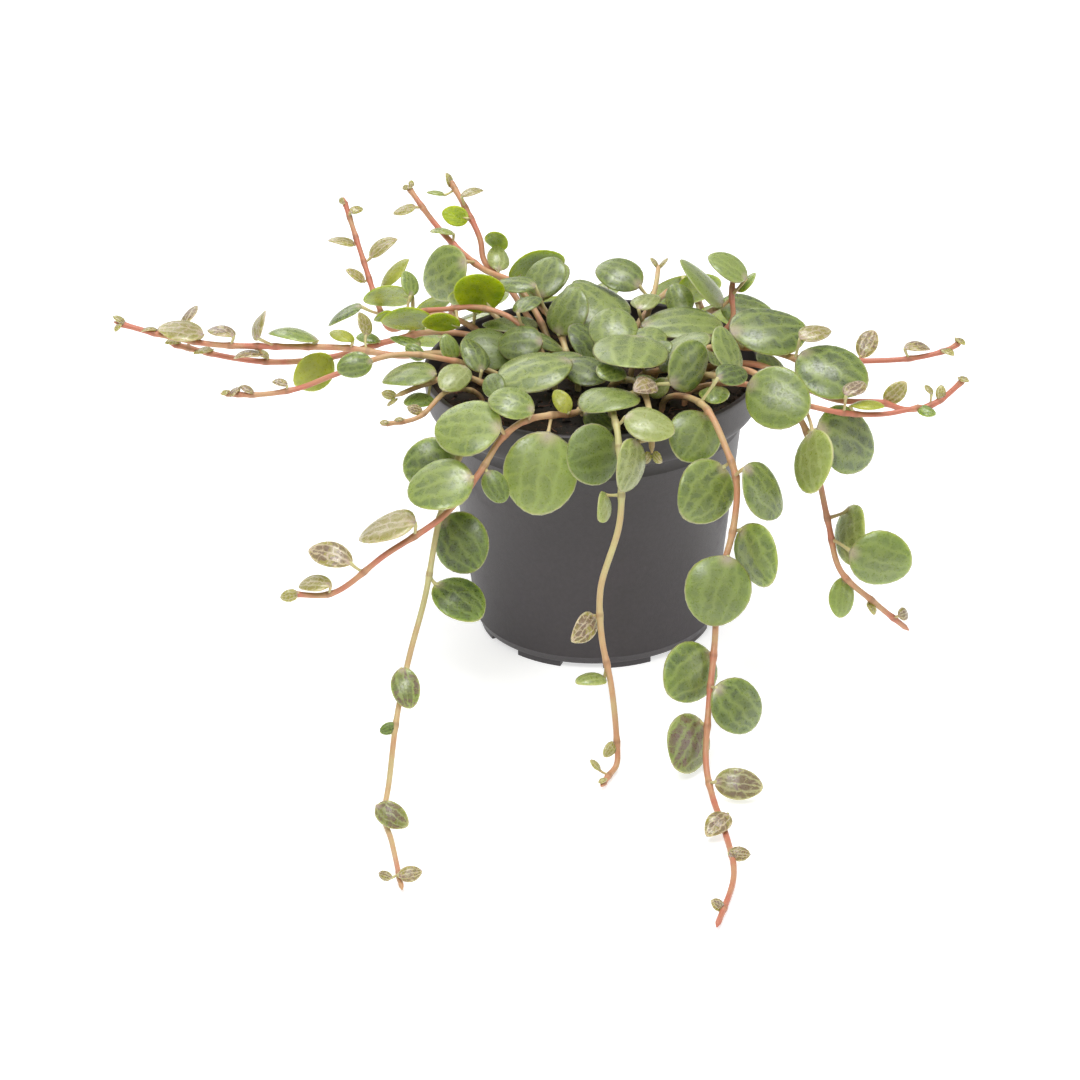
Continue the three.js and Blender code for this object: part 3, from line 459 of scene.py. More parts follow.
class Leaf:
    """A blade on its petiole: where it sits, which way it faces and how large it is."""

    def __init__(self, stem, spot, plan, move):
        node, tangent, lift, right = spot
        _, side, length, azimuth, elevation = plan
        size_share, rise, turn, tilt = move
        size = length * size_share
        self.stem = stem
        self.plan = plan
        self.along = plan[0]
        self.node = node
        self.normal = facing(azimuth + turn, elevation + tilt)
        self.centre = (
            node
            + tangent * (LEAF_AHEAD * length)
            + right * (side * length)
            + lift * stem.plan.rise
            + self.normal * rise
        )
        long = square_to(self.centre - node, self.normal)
        if math.sqrt(long @ long) < 0.1 * length:
            long = square_to(tangent, self.normal)
        self.long = unit(long)
        self.across = np.cross(self.normal, self.long)
        self.half = size / 2
        self.width = MATURE_WIDTH if size >= MATURE_LENGTH else YOUNG_WIDTH
        self.thickness = min(BLADE_CENTRE, YOUNG_CENTRE + YOUNG_THICKENING * size)
        sink = (LEAF_FOOT - 1) * LEAF_FOOT * BLADE_CUP * size
        foot = self.points(np.array([[0.0, -LEAF_FOOT]]), sink)[0]
        self.petiole = node + (foot - node) * np.linspace(0, 1, PETIOLE_SAMPLES)[:, None]
        self.samples = self.points(SAMPLES, 0.0)
        stalk = self.centre - node
        self.reach = max(self.half, math.sqrt(stalk @ stalk)) + 3

    def points(self, places, height):
        """Points of the blade: across and along run from -1 to 1, and height is off its middle."""
        across, along = places[:, 0], places[:, 1]
        spread = self.half * self.width * (1 - BLADE_EGG * along)
        droop = 2 * self.half * BLADE_CUP * (across ** 2 + along ** 2)
        return (
            self.centre
            + np.outer(across * spread, self.across)
            + np.outer(along * self.half, self.long)
            + np.outer(height - droop, self.normal)
        )

    def near(self, points, room):
        """Which of the points, that need some room round them, are too near to the blade."""
        offset = points - self.centre
        along = offset @ self.long / self.half
        spread = self.half * self.width * (1 - BLADE_EGG * along)
        across = offset @ self.across / spread
        reach = across ** 2 + along ** 2
        height = offset @ self.normal + 2 * self.half * BLADE_CUP * reach
        margin = 1 + EDGE_ROOM / self.half
        return (reach <= margin ** 2) & (np.abs(height) < self.thickness / 2 + room)


def body_radius(height):
    """Outer radius of the pot's tapering body at a height."""
    share = height / (POT_HEIGHT - RIM_BAND_HEIGHT)
    return BODY_BASE_RADIUS + (BODY_TOP_RADIUS - BODY_BASE_RADIUS) * share


def near_pot(points):
    radius = np.hypot(points[:, 0], points[:, 1])
    height = points[:, 2]
    band_bottom = POT_HEIGHT - RIM_BAND_HEIGHT
    beside_band = height > band_bottom - POT_CLEARANCE
    wall = np.where(beside_band, RIM_RADIUS, body_radius(height)) + POT_CLEARANCE
    inside = radius < RIM_RADIUS - RIM_WALL - POT_CLEARANCE
    blocked = np.where(inside, height < SOIL_TOP + 2 * POT_CLEARANCE, radius < wall)
    blocked = np.where(height < FLOOR_CLEARANCE, True, blocked)
    return np.where(height > POT_HEIGHT + POT_CLEARANCE, False, blocked)


def leaves_clash(leaf, other):
    between = leaf.centre - other.centre
    apart = math.sqrt(between @ between)
    if apart > leaf.reach + other.reach:
        return False
    pair = ((leaf, other), (other, leaf))
    if apart <= leaf.half + other.half + 2:
        if any(one.near(two.samples, BLADE_ROOM).any() for one, two in pair):
            return True
    if any(one.near(two.petiole, PETIOLE_ROOM).any() for one, two in pair):
        return True
    if other.stem is leaf.stem:
        return False
    gaps = np.linalg.norm(leaf.petiole[:, None] - other.petiole[None], axis=2)
    return bool((gaps < 2 * PETIOLE_ROOM).any())


def is_clear(leaf, placed, own, points, radii):
    """Whether a leaf keeps clear of the pot, of the stems and of the leaves placed before it.
    The points with their radii stand for all stems, and own says which are of the leaf's stem."""
    if near_pot(leaf.samples).any() or near_pot(leaf.petiole[1:]).any():
        return False
    is_bud = leaf.half < BUD_HALF
    counted = ~own if is_bud else np.full(len(own), True)
    room = radii + np.where(own, 0.0, STEM_ROOM)
    if (leaf.near(points, room) & counted).any():
        return False
    gaps = np.linalg.norm(leaf.petiole[:, None] - points[None], axis=2)
    if ((gaps < radii + PETIOLE_ROOM + STEM_ROOM) & ~own).any():
        return False
    return not any(
        leaves_clash(leaf, other) for other in placed
        if not (leaf.stem is other.stem and is_bud and other.half < BUD_HALF)
    )


def strain_of(move):
    """How far a small move takes a leaf from its plan."""
    size, rise, turn, tilt = move
    swing = abs(turn) + abs(tilt)
    return abs(rise) + SHRINKING_STRAIN * (1 - size) + TURNING_STRAIN * swing


def grow():
    """Places every stem and leaf. The large leaves take their places first, and the ones that
    fill the crown come last. A leaf that finds no room is left out."""
    stems = [Stem(name, plan) for name, plan in STEMS.items()]
    points = np.concatenate([stem.samples for stem in stems])
    radii = np.concatenate([np.full(len(stem.samples), float(stem.plan.radius)) for stem in stems])
    owners = np.concatenate([np.full(len(stem.samples), i) for i, stem in enumerate(stems)])
    named = [(i, row) for i, stem in enumerate(stems) for row in stem.plan.leaves]
    named.sort(key=lambda pair: -pair[1][2])
    filling = [(i, row) for i, stem in enumerate(stems) for row in filling_leaves(stem)]
    moves = [
        (size, rise, turn, tilt)
        for size in SIZE_SHARES for rise in RISES for turn, tilt in TURNS_AND_TILTS
    ]
    moves.sort(key=strain_of)
    placed = []
    for i, row in named + filling:
        stem = stems[i]
        tangent = stem.route.tangent(row[0])
        lift = unit(square_to(facing(*stem.plan.faces), tangent))
        spot = (stem.middle(row[0]), tangent, lift, np.cross(tangent, lift))
        for move in moves:
            leaf = Leaf(stem, spot, row, move)
            if is_clear(leaf, placed, owners == i, points, radii):
                placed.append(leaf)
                stem.leaves.append(leaf)
                break
    return stems


# ------------------------------------------------------------------ colours and node tools

def paint(red, green, blue):
    """A colour as a screen shows it, 0 to 255, in the scale of light that shaders use."""
    shares = [value / 255 for value in (red, green, blue)]
    return tuple(s / 12.92 if s <= 0.04045 else ((s + 0.055) / 1.055) ** 2.4 for s in shares)


class Value:
    """What a node puts out. To reckon with it adds the nodes that do the sum."""

    def __init__(self, nodes, socket):
        self.nodes = nodes
        self.socket = socket

    def __add__(self, other):
        return self.nodes.math("ADD", self, other)

    def __sub__(self, other):
        return self.nodes.math("SUBTRACT", self, other)

    def __rsub__(self, other):
        return self.nodes.math("SUBTRACT", other, self)

    def __mul__(self, other):
        return self.nodes.math("MULTIPLY", self, other)

    def __truediv__(self, other):
        return self.nodes.math("DIVIDE", self, other)


class Nodes:
    """Adds nodes to a material's or a group's tree and joins them up."""

    def __init__(self, tree):
        self.tree = tree

    def put(self, socket, value):
        """Links or sets a socket. A colour of three numbers is set as an opaque one."""
        if isinstance(value, Value):
            self.tree.links.new(value.socket, socket)
        elif socket.type == "RGBA":
            socket.default_value = (*value, 1.0)
        else:
            socket.default_value = value

    def fill(self, node, inputs):
        for key, value in inputs.items():
            self.put(node.inputs[key], value)

    def add(self, kind, inputs=None, **settings):
        made = self.tree.nodes.new(kind)
        for name, value in settings.items():
            setattr(made, name, value)
        self.fill(made, inputs or {})
        return made

    def value(self, kind, output, inputs=None, **settings):
        """Adds a node, and gives one of its outputs."""
        return Value(self, self.add(kind, inputs, **settings).outputs[output])

    def outputs(self, node):
        return {socket.name: Value(self, socket) for socket in node.outputs}

    def math(self, operation, first, second=0.0):
        return self.value("ShaderNodeMath", 0, {0: first, 1: second}, operation=operation)

    def step(self, value, low, high, start=0.0, end=1.0):
        """A value that runs softly from start to end while the input runs from low to high."""
        inputs = {"Value": value, "From Min": low, "From Max": high, "To Min": start, "To Max": end}
        return self.value("ShaderNodeMapRange", "Result", inputs, interpolation_type="SMOOTHSTEP")

    def mix(self, share, first, second):
        return self.value("ShaderNodeMix", 2, {0: share, 6: first, 7: second}, data_type="RGBA")

    def split(self, vector):
        return self.outputs(self.add("ShaderNodeSeparateXYZ", {0: vector})).values()

    def join(self, x, y, z=0.0):
        return self.value("ShaderNodeCombineXYZ", 0, {0: x, 1: y, 2: z})

    def noise(self, vector, scale, detail=2.0, roughness=0.5):
        inputs = {"Vector": vector, "Scale": scale, "Detail": detail, "Roughness": roughness}
        return self.value("ShaderNodeTexNoise", "Fac", inputs)

    def chance(self, vector, dimensions):
        """An even random number for each vector."""
        inputs = {"Vector": vector}
        return self.value("ShaderNodeTexWhiteNoise", "Value", inputs, noise_dimensions=dimensions)

    def object_place(self):
        return self.value("ShaderNodeTexCoord", "Object")

    def attribute(self, name):
        return self.value("ShaderNodeAttribute", "Vector", attribute_name=name)

    def group(self, tree, inputs):
        return self.outputs(self.add("ShaderNodeGroup", inputs, node_tree=tree))


def new_group(name, inputs, outputs):
    """An empty node group with the named sockets, and its own way in and out."""
    tree = bpy.data.node_groups.new(name, "ShaderNodeTree")
    for way, sockets in (("INPUT", inputs), ("OUTPUT", outputs)):
        for socket, kind in sockets.items():
            tree.interface.new_socket(socket, in_out=way, socket_type="NodeSocket" + kind)
    nodes = Nodes(tree)
    return nodes, nodes.outputs(nodes.add("NodeGroupInput")), nodes.add("NodeGroupOutput")


GRAIN_HEIGHT = 0.0002
COARSE_SHARE = 0.6
FINE_STEP = 4.0


def grain_group():
    """Fine grain: a mottle that colours can follow, and a surface normal with small bumps."""
    tree = bpy.data.node_groups.get("fine grain")
    if tree:
        return tree
    nodes, given, leave = new_group(
        "fine grain", {"Size": "Float", "Depth": "Float"}, {"Mottle": "Float", "Normal": "Vector"}
    )
    place = nodes.object_place()
    coarse = nodes.noise(place, given["Size"], 4.0, 0.6)
    fine = nodes.noise(place, given["Size"] * FINE_STEP, 2.0, 0.6)
    height = coarse * COARSE_SHARE + fine
    inputs = {"Height": height, "Distance": GRAIN_HEIGHT, "Strength": given["Depth"]}
    bumps = nodes.value("ShaderNodeBump", "Normal", inputs)
    nodes.fill(leave, {"Mottle": nodes.step(coarse, 0.3, 0.7), "Normal": bumps})
    return nodes.tree


LEAF_MARKS = ("Cell", "Shade", "Vein", "Margin", "Base", "Cloud", "Speck")
SEED_SHIFT = 17.0
RAGGED_SHARE = 0.14
LANE_SWAY = 0.55
RUNG_SWAY = 0.7
RUNG_SLANT = -0.35


def leaf_pattern_group():
    """The turtle-shell pattern in a leaf's own measure: across and along from -1 to 1."""
    tree = bpy.data.node_groups.get("leaf pattern")
    if tree:
        return tree
    nodes, given, leave = new_group(
        "leaf pattern",
        {"Place": "Vector", "Lane": "Float", "Cells": "Float"},
        dict.fromkeys(LEAF_MARKS, "Float"),
    )
    across, along, seed = nodes.split(given["Place"])
    shift = seed * SEED_SHIFT
    moved = nodes.join(across + shift, along + shift, seed)
    sway = nodes.noise(moved, 2.4, 3.0) - 0.5
    swing = nodes.noise(moved, 3.3, 3.0) - 0.5
    speck = nodes.noise(moved, 30.0, 4.0, 0.75)
    ragged = (speck - 0.5) * RAGGED_SHARE
    # The main veins fan out from the stalk and run in even lanes towards the tip.
    square = along * along
    outline = nodes.math("SQRT", nodes.math("MAXIMUM", 1.1 - square, 0.08))
    lane = (sway * LANE_SWAY + across) / outline
    to_vein = nodes.math("PINGPONG", lane, given["Lane"] * 0.5) * outline + ragged
    # Slanting cross veins part each lane into cells at its own places.
    column = nodes.math("FLOOR", lane / given["Lane"])
    slant = nodes.math("ABSOLUTE", across) * RUNG_SLANT + along
    ladder = (swing * RUNG_SWAY + slant) * given["Cells"]
    ladder = ladder + nodes.chance(nodes.join(column, seed), "2D")
    rung = nodes.math("ROUND", ladder)
    to_rung = nodes.math("PINGPONG", ladder, 0.5) / given["Cells"] + ragged
    # A cell keeps clear of its veins, with round corners.
    cell = nodes.step(to_vein, -0.01, 0.15) * nodes.step(to_rung, -0.02, 0.11)
    # The veins are broad near the stalk, and fade towards the edge.
    reach = nodes.math("SQRT", across * across + square)
    breadth = nodes.step(along, -1.0, 1.0, 0.19, 0.09)
    vein = nodes.step(to_vein / breadth, 0.0, 1.0, 1.0, 0.0)
    drop = along + 1.0
    from_base = nodes.math("SQRT", drop * drop + across * across)
    nodes.fill(leave, {
        "Cell": cell,
        "Shade": nodes.chance(nodes.join(column, rung, seed), "3D"),
        "Vein": vein * nodes.step(reach, 0.75, 1.0, 1.0, 0.3),
        "Margin": nodes.step(reach, 0.95, 1.0),
        "Base": nodes.step(from_base, 0.05, 0.42, 1.0, 0.0),
        "Cloud": nodes.noise(moved, 1.6, 3.0, 0.6),
        "Speck": nodes.step(speck, 0.35, 0.75),
    })
    return nodes.tree


def new_material(name):
    material = bpy.data.materials.new(name)
    material.use_nodes = True
    return material, Nodes(material.node_tree), material.node_tree.nodes["Principled BSDF"]


def grained_material(name, size, depth):
    """A material with fine grain in its surface, and the grain's mottle to colour it by."""
    material, nodes, shader = new_material(name)
    grain = nodes.group(grain_group(), {"Size": size, "Depth": depth})
    nodes.fill(shader, {"Normal": grain["Normal"]})
    return material, nodes, shader, grain


# ------------------------------------------------------------------ hand tools

def put_down():
    """Leaves every object unselected, so that the next tool acts only on what it makes."""
    if bpy.context.mode != "OBJECT":
        bpy.ops.object.mode_set(mode="OBJECT")
    bpy.ops.object.select_all(action="DESELECT")


def take(piece):
    put_down()
    piece.select_set(True)
    bpy.context.view_layer.objects.active = piece


@contextmanager
def editing(piece):
    """Opens a piece for the edit tools with all of it selected, and closes it again."""
    take(piece)
    bpy.ops.object.mode_set(mode="EDIT")
    bpy.ops.mesh.select_all(action="SELECT")
    yield
    bpy.ops.object.mode_set(mode="OBJECT")


def raise_faces(piece, lift, wanted):
    """Extrudes the faces whose middle and normal pass the test, straight up by the lift."""
    with editing(piece):
        bpy.ops.mesh.select_mode(type="FACE")
        bpy.ops.mesh.select_all(action="DESELECT")
        bpy.ops.object.mode_set(mode="OBJECT")
        for face in piece.data.polygons:
            face.select = wanted(face.center, face.normal)
        bpy.ops.object.mode_set(mode="EDIT")
        bpy.ops.mesh.extrude_region_move(
            TRANSFORM_OT_translate={"value": (0, 0, lift), "orient_type": "GLOBAL"}
        )


def turned(name, profile, sides, turn_degrees=0.0):
    """A form turned on the pot's axis. It starts as a disc at the first radius, and its edge is
    drawn out and scaled to each further radius and height of the profile, then closed."""
    (radius, height), *rest = profile
    put_down()
    bpy.ops.mesh.primitive_circle_add(
        vertices=sides, radius=radius * MM, fill_type="NGON", location=(0, 0, height * MM),
        rotation=(0, 0, math.radians(turn_degrees)),
    )
    piece = bpy.context.object
    piece.name = piece.data.name = name
    bpy.ops.object.transform_apply(location=True, rotation=True, scale=True)
    with editing(piece):
        bpy.ops.mesh.select_mode(type="EDGE")
        bpy.ops.mesh.select_all(action="SELECT")
        bpy.ops.mesh.region_to_loop()
        for next_radius, next_height in rest:
            lift = (0, 0, (next_height - height) * MM)
            bpy.ops.mesh.extrude_edges_move(
                TRANSFORM_OT_translate={"value": lift, "orient_type": "GLOBAL"}
            )
            grow_by = next_radius / radius
            bpy.ops.transform.resize(value=(grow_by, grow_by, 1), center_override=(0, 0, 0))
            radius, height = next_radius, next_height
        bpy.ops.mesh.edge_face_add()
        bpy.ops.mesh.select_all(action="SELECT")
        bpy.ops.mesh.normals_make_consistent(inside=False)
    return piece


def squashed(piece, shares):
    """Gives a round blank other proportions."""
    with editing(piece):
        bpy.ops.transform.resize(value=shares, center_override=(0, 0, 0))


def apply_modifier(piece, kind, **settings):
    take(piece)
    modifier = piece.modifiers.new(kind.lower(), kind)
    for name, value in settings.items():
        setattr(modifier, name, value)
    bpy.ops.object.modifier_apply(modifier=modifier.name)


def copy_of(pattern):
    made = pattern.copy()
    made.data = pattern.data.copy()
    bpy.context.scene.collection.objects.link(made)
    return made


def move_vertices(piece, places):
    """Moves a piece's vertices to places in millimetres."""
    piece.data.vertices.foreach_set("co", (np.asarray(places) * MM).astype(np.float32).ravel())
    piece.data.update()


def vertex_places(piece):
    """Where a piece's vertices are, in millimetres."""
    places = np.zeros(len(piece.data.vertices) * 3, np.float32)
    piece.data.vertices.foreach_get("co", places)
    return places.reshape(-1, 3).astype(float) / MM


def note(piece, name, values):
    """Keeps three numbers for each vertex, for the material to read."""
    kept = piece.data.attributes.new(name, "FLOAT_VECTOR", "POINT")
    kept.data.foreach_set("vector", np.asarray(values, np.float32).ravel())


def joined(pieces, name):
    take(pieces[0])
    for piece in pieces:
        piece.select_set(True)
    if len(pieces) > 1:
        bpy.ops.object.join()
    whole = bpy.context.view_layer.objects.active
    whole.name = whole.data.name = name
    return whole


def hand_over(piece, material, slot, *nodes):
    """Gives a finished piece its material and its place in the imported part."""
    piece.data.materials.clear()
    piece.data.materials.append(material)
    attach(piece, "root")
    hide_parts(*nodes)


ROD_END = 0.3
MERGE_DISTANCE = 1e-7


def tubes(name, rows, roundness):
    """One mesh of round rods with closed ends. Each row is its points, its radius at each point,
    and the three numbers that its material reads at each point."""
    put_down()
    line = bpy.data.curves.new(name, "CURVE")
    line.dimensions = "3D"
    line.bevel_depth = MM
    line.bevel_resolution = roundness
    looks = []
    for points, radii, look in rows:
        points, look = np.asarray(points, float), np.asarray(look, float)
        first = points[0] - ROD_END * radii[0] * unit(points[1] - points[0])
        last = points[-1] + ROD_END * radii[-1] * unit(points[-1] - points[-2])
        points = np.vstack([first, points, last])
        looks.append(np.vstack([look[0], look, look[-1]]))
        spline = line.splines.new("POLY")
        spline.points.add(len(points) - 1)
        places = np.column_stack([points * MM, np.ones(len(points))])
        spline.points.foreach_set("co", places.astype(np.float32).ravel())
        spline.points.foreach_set("radius", np.array([0, *radii, 0], np.float32))
    piece = bpy.data.objects.new(name, line)
    bpy.context.scene.collection.objects.link(piece)
    take(piece)
    bpy.ops.object.convert(target="MESH")
    piece = bpy.context.view_layer.objects.active
    looks = np.concatenate(looks)
    sides = len(piece.data.vertices) // len(looks)
    if sides * len(looks) != len(piece.data.vertices):
        raise RuntimeError(f"{name}: the rods have {len(piece.data.vertices)} vertices")
    note(piece, "stem_look", np.repeat(looks, sides, axis=0))
    with editing(piece):
        bpy.ops.mesh.remove_doubles(threshold=MERGE_DISTANCE)
        bpy.ops.mesh.normals_make_consistent(inside=False)
    bpy.ops.object.shade_smooth()
    return piece


# ------------------------------------------------------------------ settings

def length_setting(name, text, millimetres):
    return FloatProperty(name=name, description=text, default=millimetres * MM, min=0.0, unit="LENGTH")


def colour_setting(name, text, *shade):
    return FloatVectorProperty(
        name=name, description=text, default=paint(*shade), subtype="COLOR", min=0.0, max=1.0
    )


def share_setting(name, text, value):
    return FloatProperty(name=name, description=text, default=value, min=0.0, max=1.0, subtype="FACTOR")


def amount_setting(name, text, value, **more):
    return FloatProperty(name=name, description=text, default=value, min=0.0, **more)


class PotSettings(bpy.types.PropertyGroup):
    lip: length_setting("Lip rounding", "Rounding of the pot's edges", 0.3)
    ring_step: length_setting("Ring step", "Height of the two faint rings round the body", 0.12)
    colour: colour_setting("Plastic", "Colour of the pot", 54, 49, 51)
    light_colour: colour_setting("Scuffed plastic", "Colour of the plastic's paler mottle", 76, 70, 74)
    roughness: share_setting("Roughness", "How matt the plastic is", 0.5)


class SoilSettings(bpy.types.PropertyGroup):
    lumps: length_setting("Lumps", "Height of the soil's uneven top", 0.9)
    crumbs: IntProperty(name="Crumbs", description="Loose crumbs on the soil", default=520, min=0)
    fibres: IntProperty(name="Fibres", description="Loose fibres on the soil", default=150, min=0)
    dark: colour_setting("Peat", "Darkest colour of the soil", 28, 20, 14)
    light: colour_setting("Dry peat", "Palest colour of the soil", 74, 52, 36)
    fibre: colour_setting("Fibre", "Colour of the loose fibres", 128, 84, 60)


class StemSettings(bpy.types.PropertyGroup):
    knuckle: share_setting("Knuckles", "How much a stem swells where a leaf stands", 0.27)
    pale: colour_setting("Pale stem", "Colour of stalks and of shaded stems", 196, 190, 134)
    ripe: colour_setting("Ripe stem", "Colour of stems that grew in the light", 192, 118, 94)
    scar: colour_setting("Scars", "Colour of the rings at the knuckles", 128, 92, 66)


class LeafSettings(bpy.types.PropertyGroup):
    edge: length_setting("Edge", "Thickness of a blade near its edge", 0.55)
    sage: colour_setting("Sage", "Waxy leaf between its veins", 66, 88, 2)
    sage_vein: colour_setting("Sage vein", "Veins of a waxy leaf", 138, 152, 60)
    wax: colour_setting("Wax", "Bloom on a pale leaf", 168, 182, 112)
    # Deep green is partly the leaf's own darker green and partly painted shade, for leaves that sit in
    # the shade of others.
    deep_and_shade: colour_setting("Deep green", "Shaded leaf between its veins", 22, 40, 0)
    deep_and_shade_vein: colour_setting("Deep green vein", "Veins of a shaded leaf", 86, 104, 8)
    olive: colour_setting("Olive", "Young leaf between its veins", 146, 128, 54)
    cream: colour_setting("Cream", "Veins of a young leaf", 208, 178, 176)
    purple: colour_setting("Purple brown", "Blotches of a young leaf", 106, 60, 72)
    # The back's colours are the leaf's paler underside, and on a clear leaf they also stand for painted
    # light shining through it.
    lime: colour_setting("Underside", "Back of a leaf", 176, 188, 22)
    moss: colour_setting("Underside shade", "Darker parts of a leaf's back", 134, 152, 8)
    sheen: share_setting("Waxy sheen", "Weight of the wax coat", 0.9)


class StageSettings(bpy.types.PropertyGroup):
    floor: colour_setting("Floor", "Colour of the floor", 214, 214, 214)
    glow: amount_setting("Floor glow", "Light that the white floor gives of itself", 0.63)
    key: amount_setting("Key light", "Power of the lamp that the others follow", 4.2, unit="POWER")
    sky: amount_setting("Sky", "Strength of the light all round", 0.3)


# ------------------------------------------------------------------ the pot

POT_SIDES = 120
POT_TURN_DEGREES = 2.0
RING_HEIGHTS = (3.6, 55.9)
RING_BREADTH = 0.5
RING_SLOPE = 0.15
DRAIN_SIDES = 32
DRAIN_CUT_DEPTH = 8
DRAIN_CUT_MIDDLE = 2
ROUNDED_DEGREES = 40
SMOOTHED_DEGREES = 35


def pot_profile(ring_step):
    """Radius and height from the centre boss out and up to the rim, and down the inside."""
    band_bottom = POT_HEIGHT - RIM_BAND_HEIGHT
    floor_top = FOOT_HEIGHT + BODY_WALL
    band_radius = RIM_RADIUS - RIM_TAPER
    rows = [
        (CENTRE_BOSS_RADIUS - 0.4, 0), (CENTRE_BOSS_RADIUS, 0.4), (CENTRE_BOSS_RADIUS, FOOT_HEIGHT),
        (BODY_BASE_RADIUS - FOOT_DEPTH, FOOT_HEIGHT), (BODY_BASE_RADIUS - 0.9, FOOT_HEIGHT),
        (BODY_BASE_RADIUS - 0.4, FOOT_HEIGHT + 0.1), (BODY_BASE_RADIUS, FOOT_HEIGHT + 0.8),
    ]
    for height in RING_HEIGHTS:
        radius = body_radius(height)
        rows += [
            (radius, height), (radius + ring_step, height + RING_SLOPE),
            (radius + ring_step, height + RING_BREADTH),
            (radius + 0.05, height + RING_BREADTH + RING_SLOPE),
        ]
    rows += [
        (BODY_TOP_RADIUS - 0.1, band_bottom - 0.9), (BODY_TOP_RADIUS + 0.1, band_bottom - 0.35),
        (BODY_TOP_RADIUS + 0.7, band_bottom), (band_radius - 1.9, band_bottom + 0.25),
        (band_radius - 0.9, band_bottom + 0.8), (band_radius - 0.3, band_bottom + 1.7),
        (band_radius, band_bottom + 3.0),
        (RIM_RADIUS - 0.1, POT_HEIGHT - 1.6), (RIM_RADIUS, POT_HEIGHT - 1.3),
        (RIM_RADIUS, POT_HEIGHT - 0.35), (RIM_RADIUS - 0.35, POT_HEIGHT),
        (RIM_RADIUS - RIM_WALL + 0.3, POT_HEIGHT), (RIM_RADIUS - RIM_WALL, POT_HEIGHT - 0.3),
        (band_radius - RIM_WALL, band_bottom + BODY_WALL),
        (BODY_TOP_RADIUS - BODY_WALL, band_bottom + BODY_WALL),
        (BODY_BASE_RADIUS - BODY_WALL, floor_top), (2, floor_top),
    ]
    return rows


def on_a_foot(centre, normal):
    radius = math.hypot(centre.x, centre.y) / MM
    if normal.z > -0.9 or not BODY_BASE_RADIUS - FOOT_DEPTH < radius < BODY_BASE_RADIUS - 0.9:
        return False
    turn = math.degrees(math.atan2(centre.y, centre.x)) + 90 - FIRST_FOOT_DEGREES
    spacing = 360 / FOOT_COUNT
    return abs((turn + spacing / 2) % spacing - spacing / 2) < FOOT_WIDTH_DEGREES / 2


def make_pot(settings):
    pot = turned("nursery_pot", pot_profile(settings.ring_step / MM), POT_SIDES, POT_TURN_DEGREES)
    raise_faces(pot, -FOOT_HEIGHT * MM, on_a_foot)
    for i in range(DRAIN_COUNT):
        angle = 2 * math.pi * (i + 0.5) / DRAIN_COUNT
        place = (DRAIN_CIRCLE_RADIUS * MM * math.cos(angle), DRAIN_CIRCLE_RADIUS * MM * math.sin(angle))
        put_down()
        bpy.ops.mesh.primitive_cylinder_add(
            vertices=DRAIN_SIDES, radius=DRAIN_RADIUS * MM, depth=DRAIN_CUT_DEPTH * MM,
            location=(*place, DRAIN_CUT_MIDDLE * MM),
        )
        cutter = bpy.context.object
        apply_modifier(pot, "BOOLEAN", operation="DIFFERENCE", solver="EXACT", object=cutter)
        bpy.data.objects.remove(cutter)
    apply_modifier(
        pot, "BEVEL", width=settings.lip * 0.5, segments=2, limit_method="ANGLE",
        angle_limit=math.radians(ROUNDED_DEGREES),
    )
    take(pot)
    bpy.ops.object.shade_smooth_by_angle(angle=math.radians(SMOOTHED_DEGREES))
    return pot


def pot_plastic(settings):
    material, nodes, shader, grain = grained_material("pot plastic", 900.0, 0.25)
    scuff = nodes.step(nodes.noise(nodes.object_place(), 55.0, 5.0, 0.7), 0.5, 0.72)
    worn = (grain["Mottle"] * 0.4 + scuff) * 0.4
    rough = settings.roughness
    nodes.fill(shader, {
        "Base Color": nodes.mix(worn, settings.colour, settings.light_colour),
        "Roughness": nodes.step(scuff, 0.0, 1.0, rough - 0.05, rough + 0.12),
    })
    return material


# ------------------------------------------------------------------ the soil

SOIL_SIDES = 120
SOIL_GAP = 0.3
SOIL_RING_STEP = 1.0
SOIL_SMOOTHED_DEGREES = 50
# The soil's lumps, from slow to tiny: how fast they follow each other, their seed and height.
SOIL_LUMPS = ((0.09, 3.1, 0.9), (0.33, 7.7, 0.6), (1.1, 1.3, 0.35))
CRUMB_SHAPE = (1, 0.85, 0.7)
CRUMB_SMALLEST = 0.35
CRUMB_RANGE = 1.0
CRUMB_FINENESS = 2.2
CRUMB_ROUGHNESS = 0.5
CRUMB_LIFT = 0.15
CRUMB_MARGIN = 2.4
FIBRE_LENGTHS = (1.2, 4.2)
FIBRE_RADII = (0.07, 0.16)
FIBRE_BENDS = (-0.5, 0.5)
FIBRE_POINTS = 5
FIBRE_MARGIN = 5
FIBRE_LIFT = 0.35
FIBRE_ARCH = 0.5


def soil_height(x, y, lumps):
    """Height of the soil's top at a place, in millimetres."""
    heights = [
        height * noise.noise(Vector((x * pace, y * pace, seed))) for pace, seed, height in SOIL_LUMPS
    ]
    return SOIL_TOP + lumps * sum(heights)


def make_soil(settings):
    edge = RIM_RADIUS - RIM_TAPER - RIM_WALL - SOIL_GAP
    ledge = POT_HEIGHT - RIM_BAND_HEIGHT + BODY_WALL + SOIL_GAP
    bottom = FOOT_HEIGHT + BODY_WALL + SOIL_GAP
    wall = BODY_WALL + SOIL_GAP
    profile = [
        (BODY_BASE_RADIUS - wall, bottom), (BODY_TOP_RADIUS - wall, ledge), (edge, ledge),
        (edge, SOIL_TOP - 0.6),
    ]
    profile += [(edge - 0.2 - ring, SOIL_TOP) for ring in np.arange(0, edge - 1, SOIL_RING_STEP)]
    soil = turned("soil_bed", profile, SOIL_SIDES)
    places = vertex_places(soil)
    for place in places:
        if place[2] > SOIL_TOP - 0.1:
            place[2] = soil_height(place[0], place[1], settings.lumps / MM)
    move_vertices(soil, places)
    take(soil)
    bpy.ops.object.shade_smooth_by_angle(angle=math.radians(SOIL_SMOOTHED_DEGREES))
    return soil


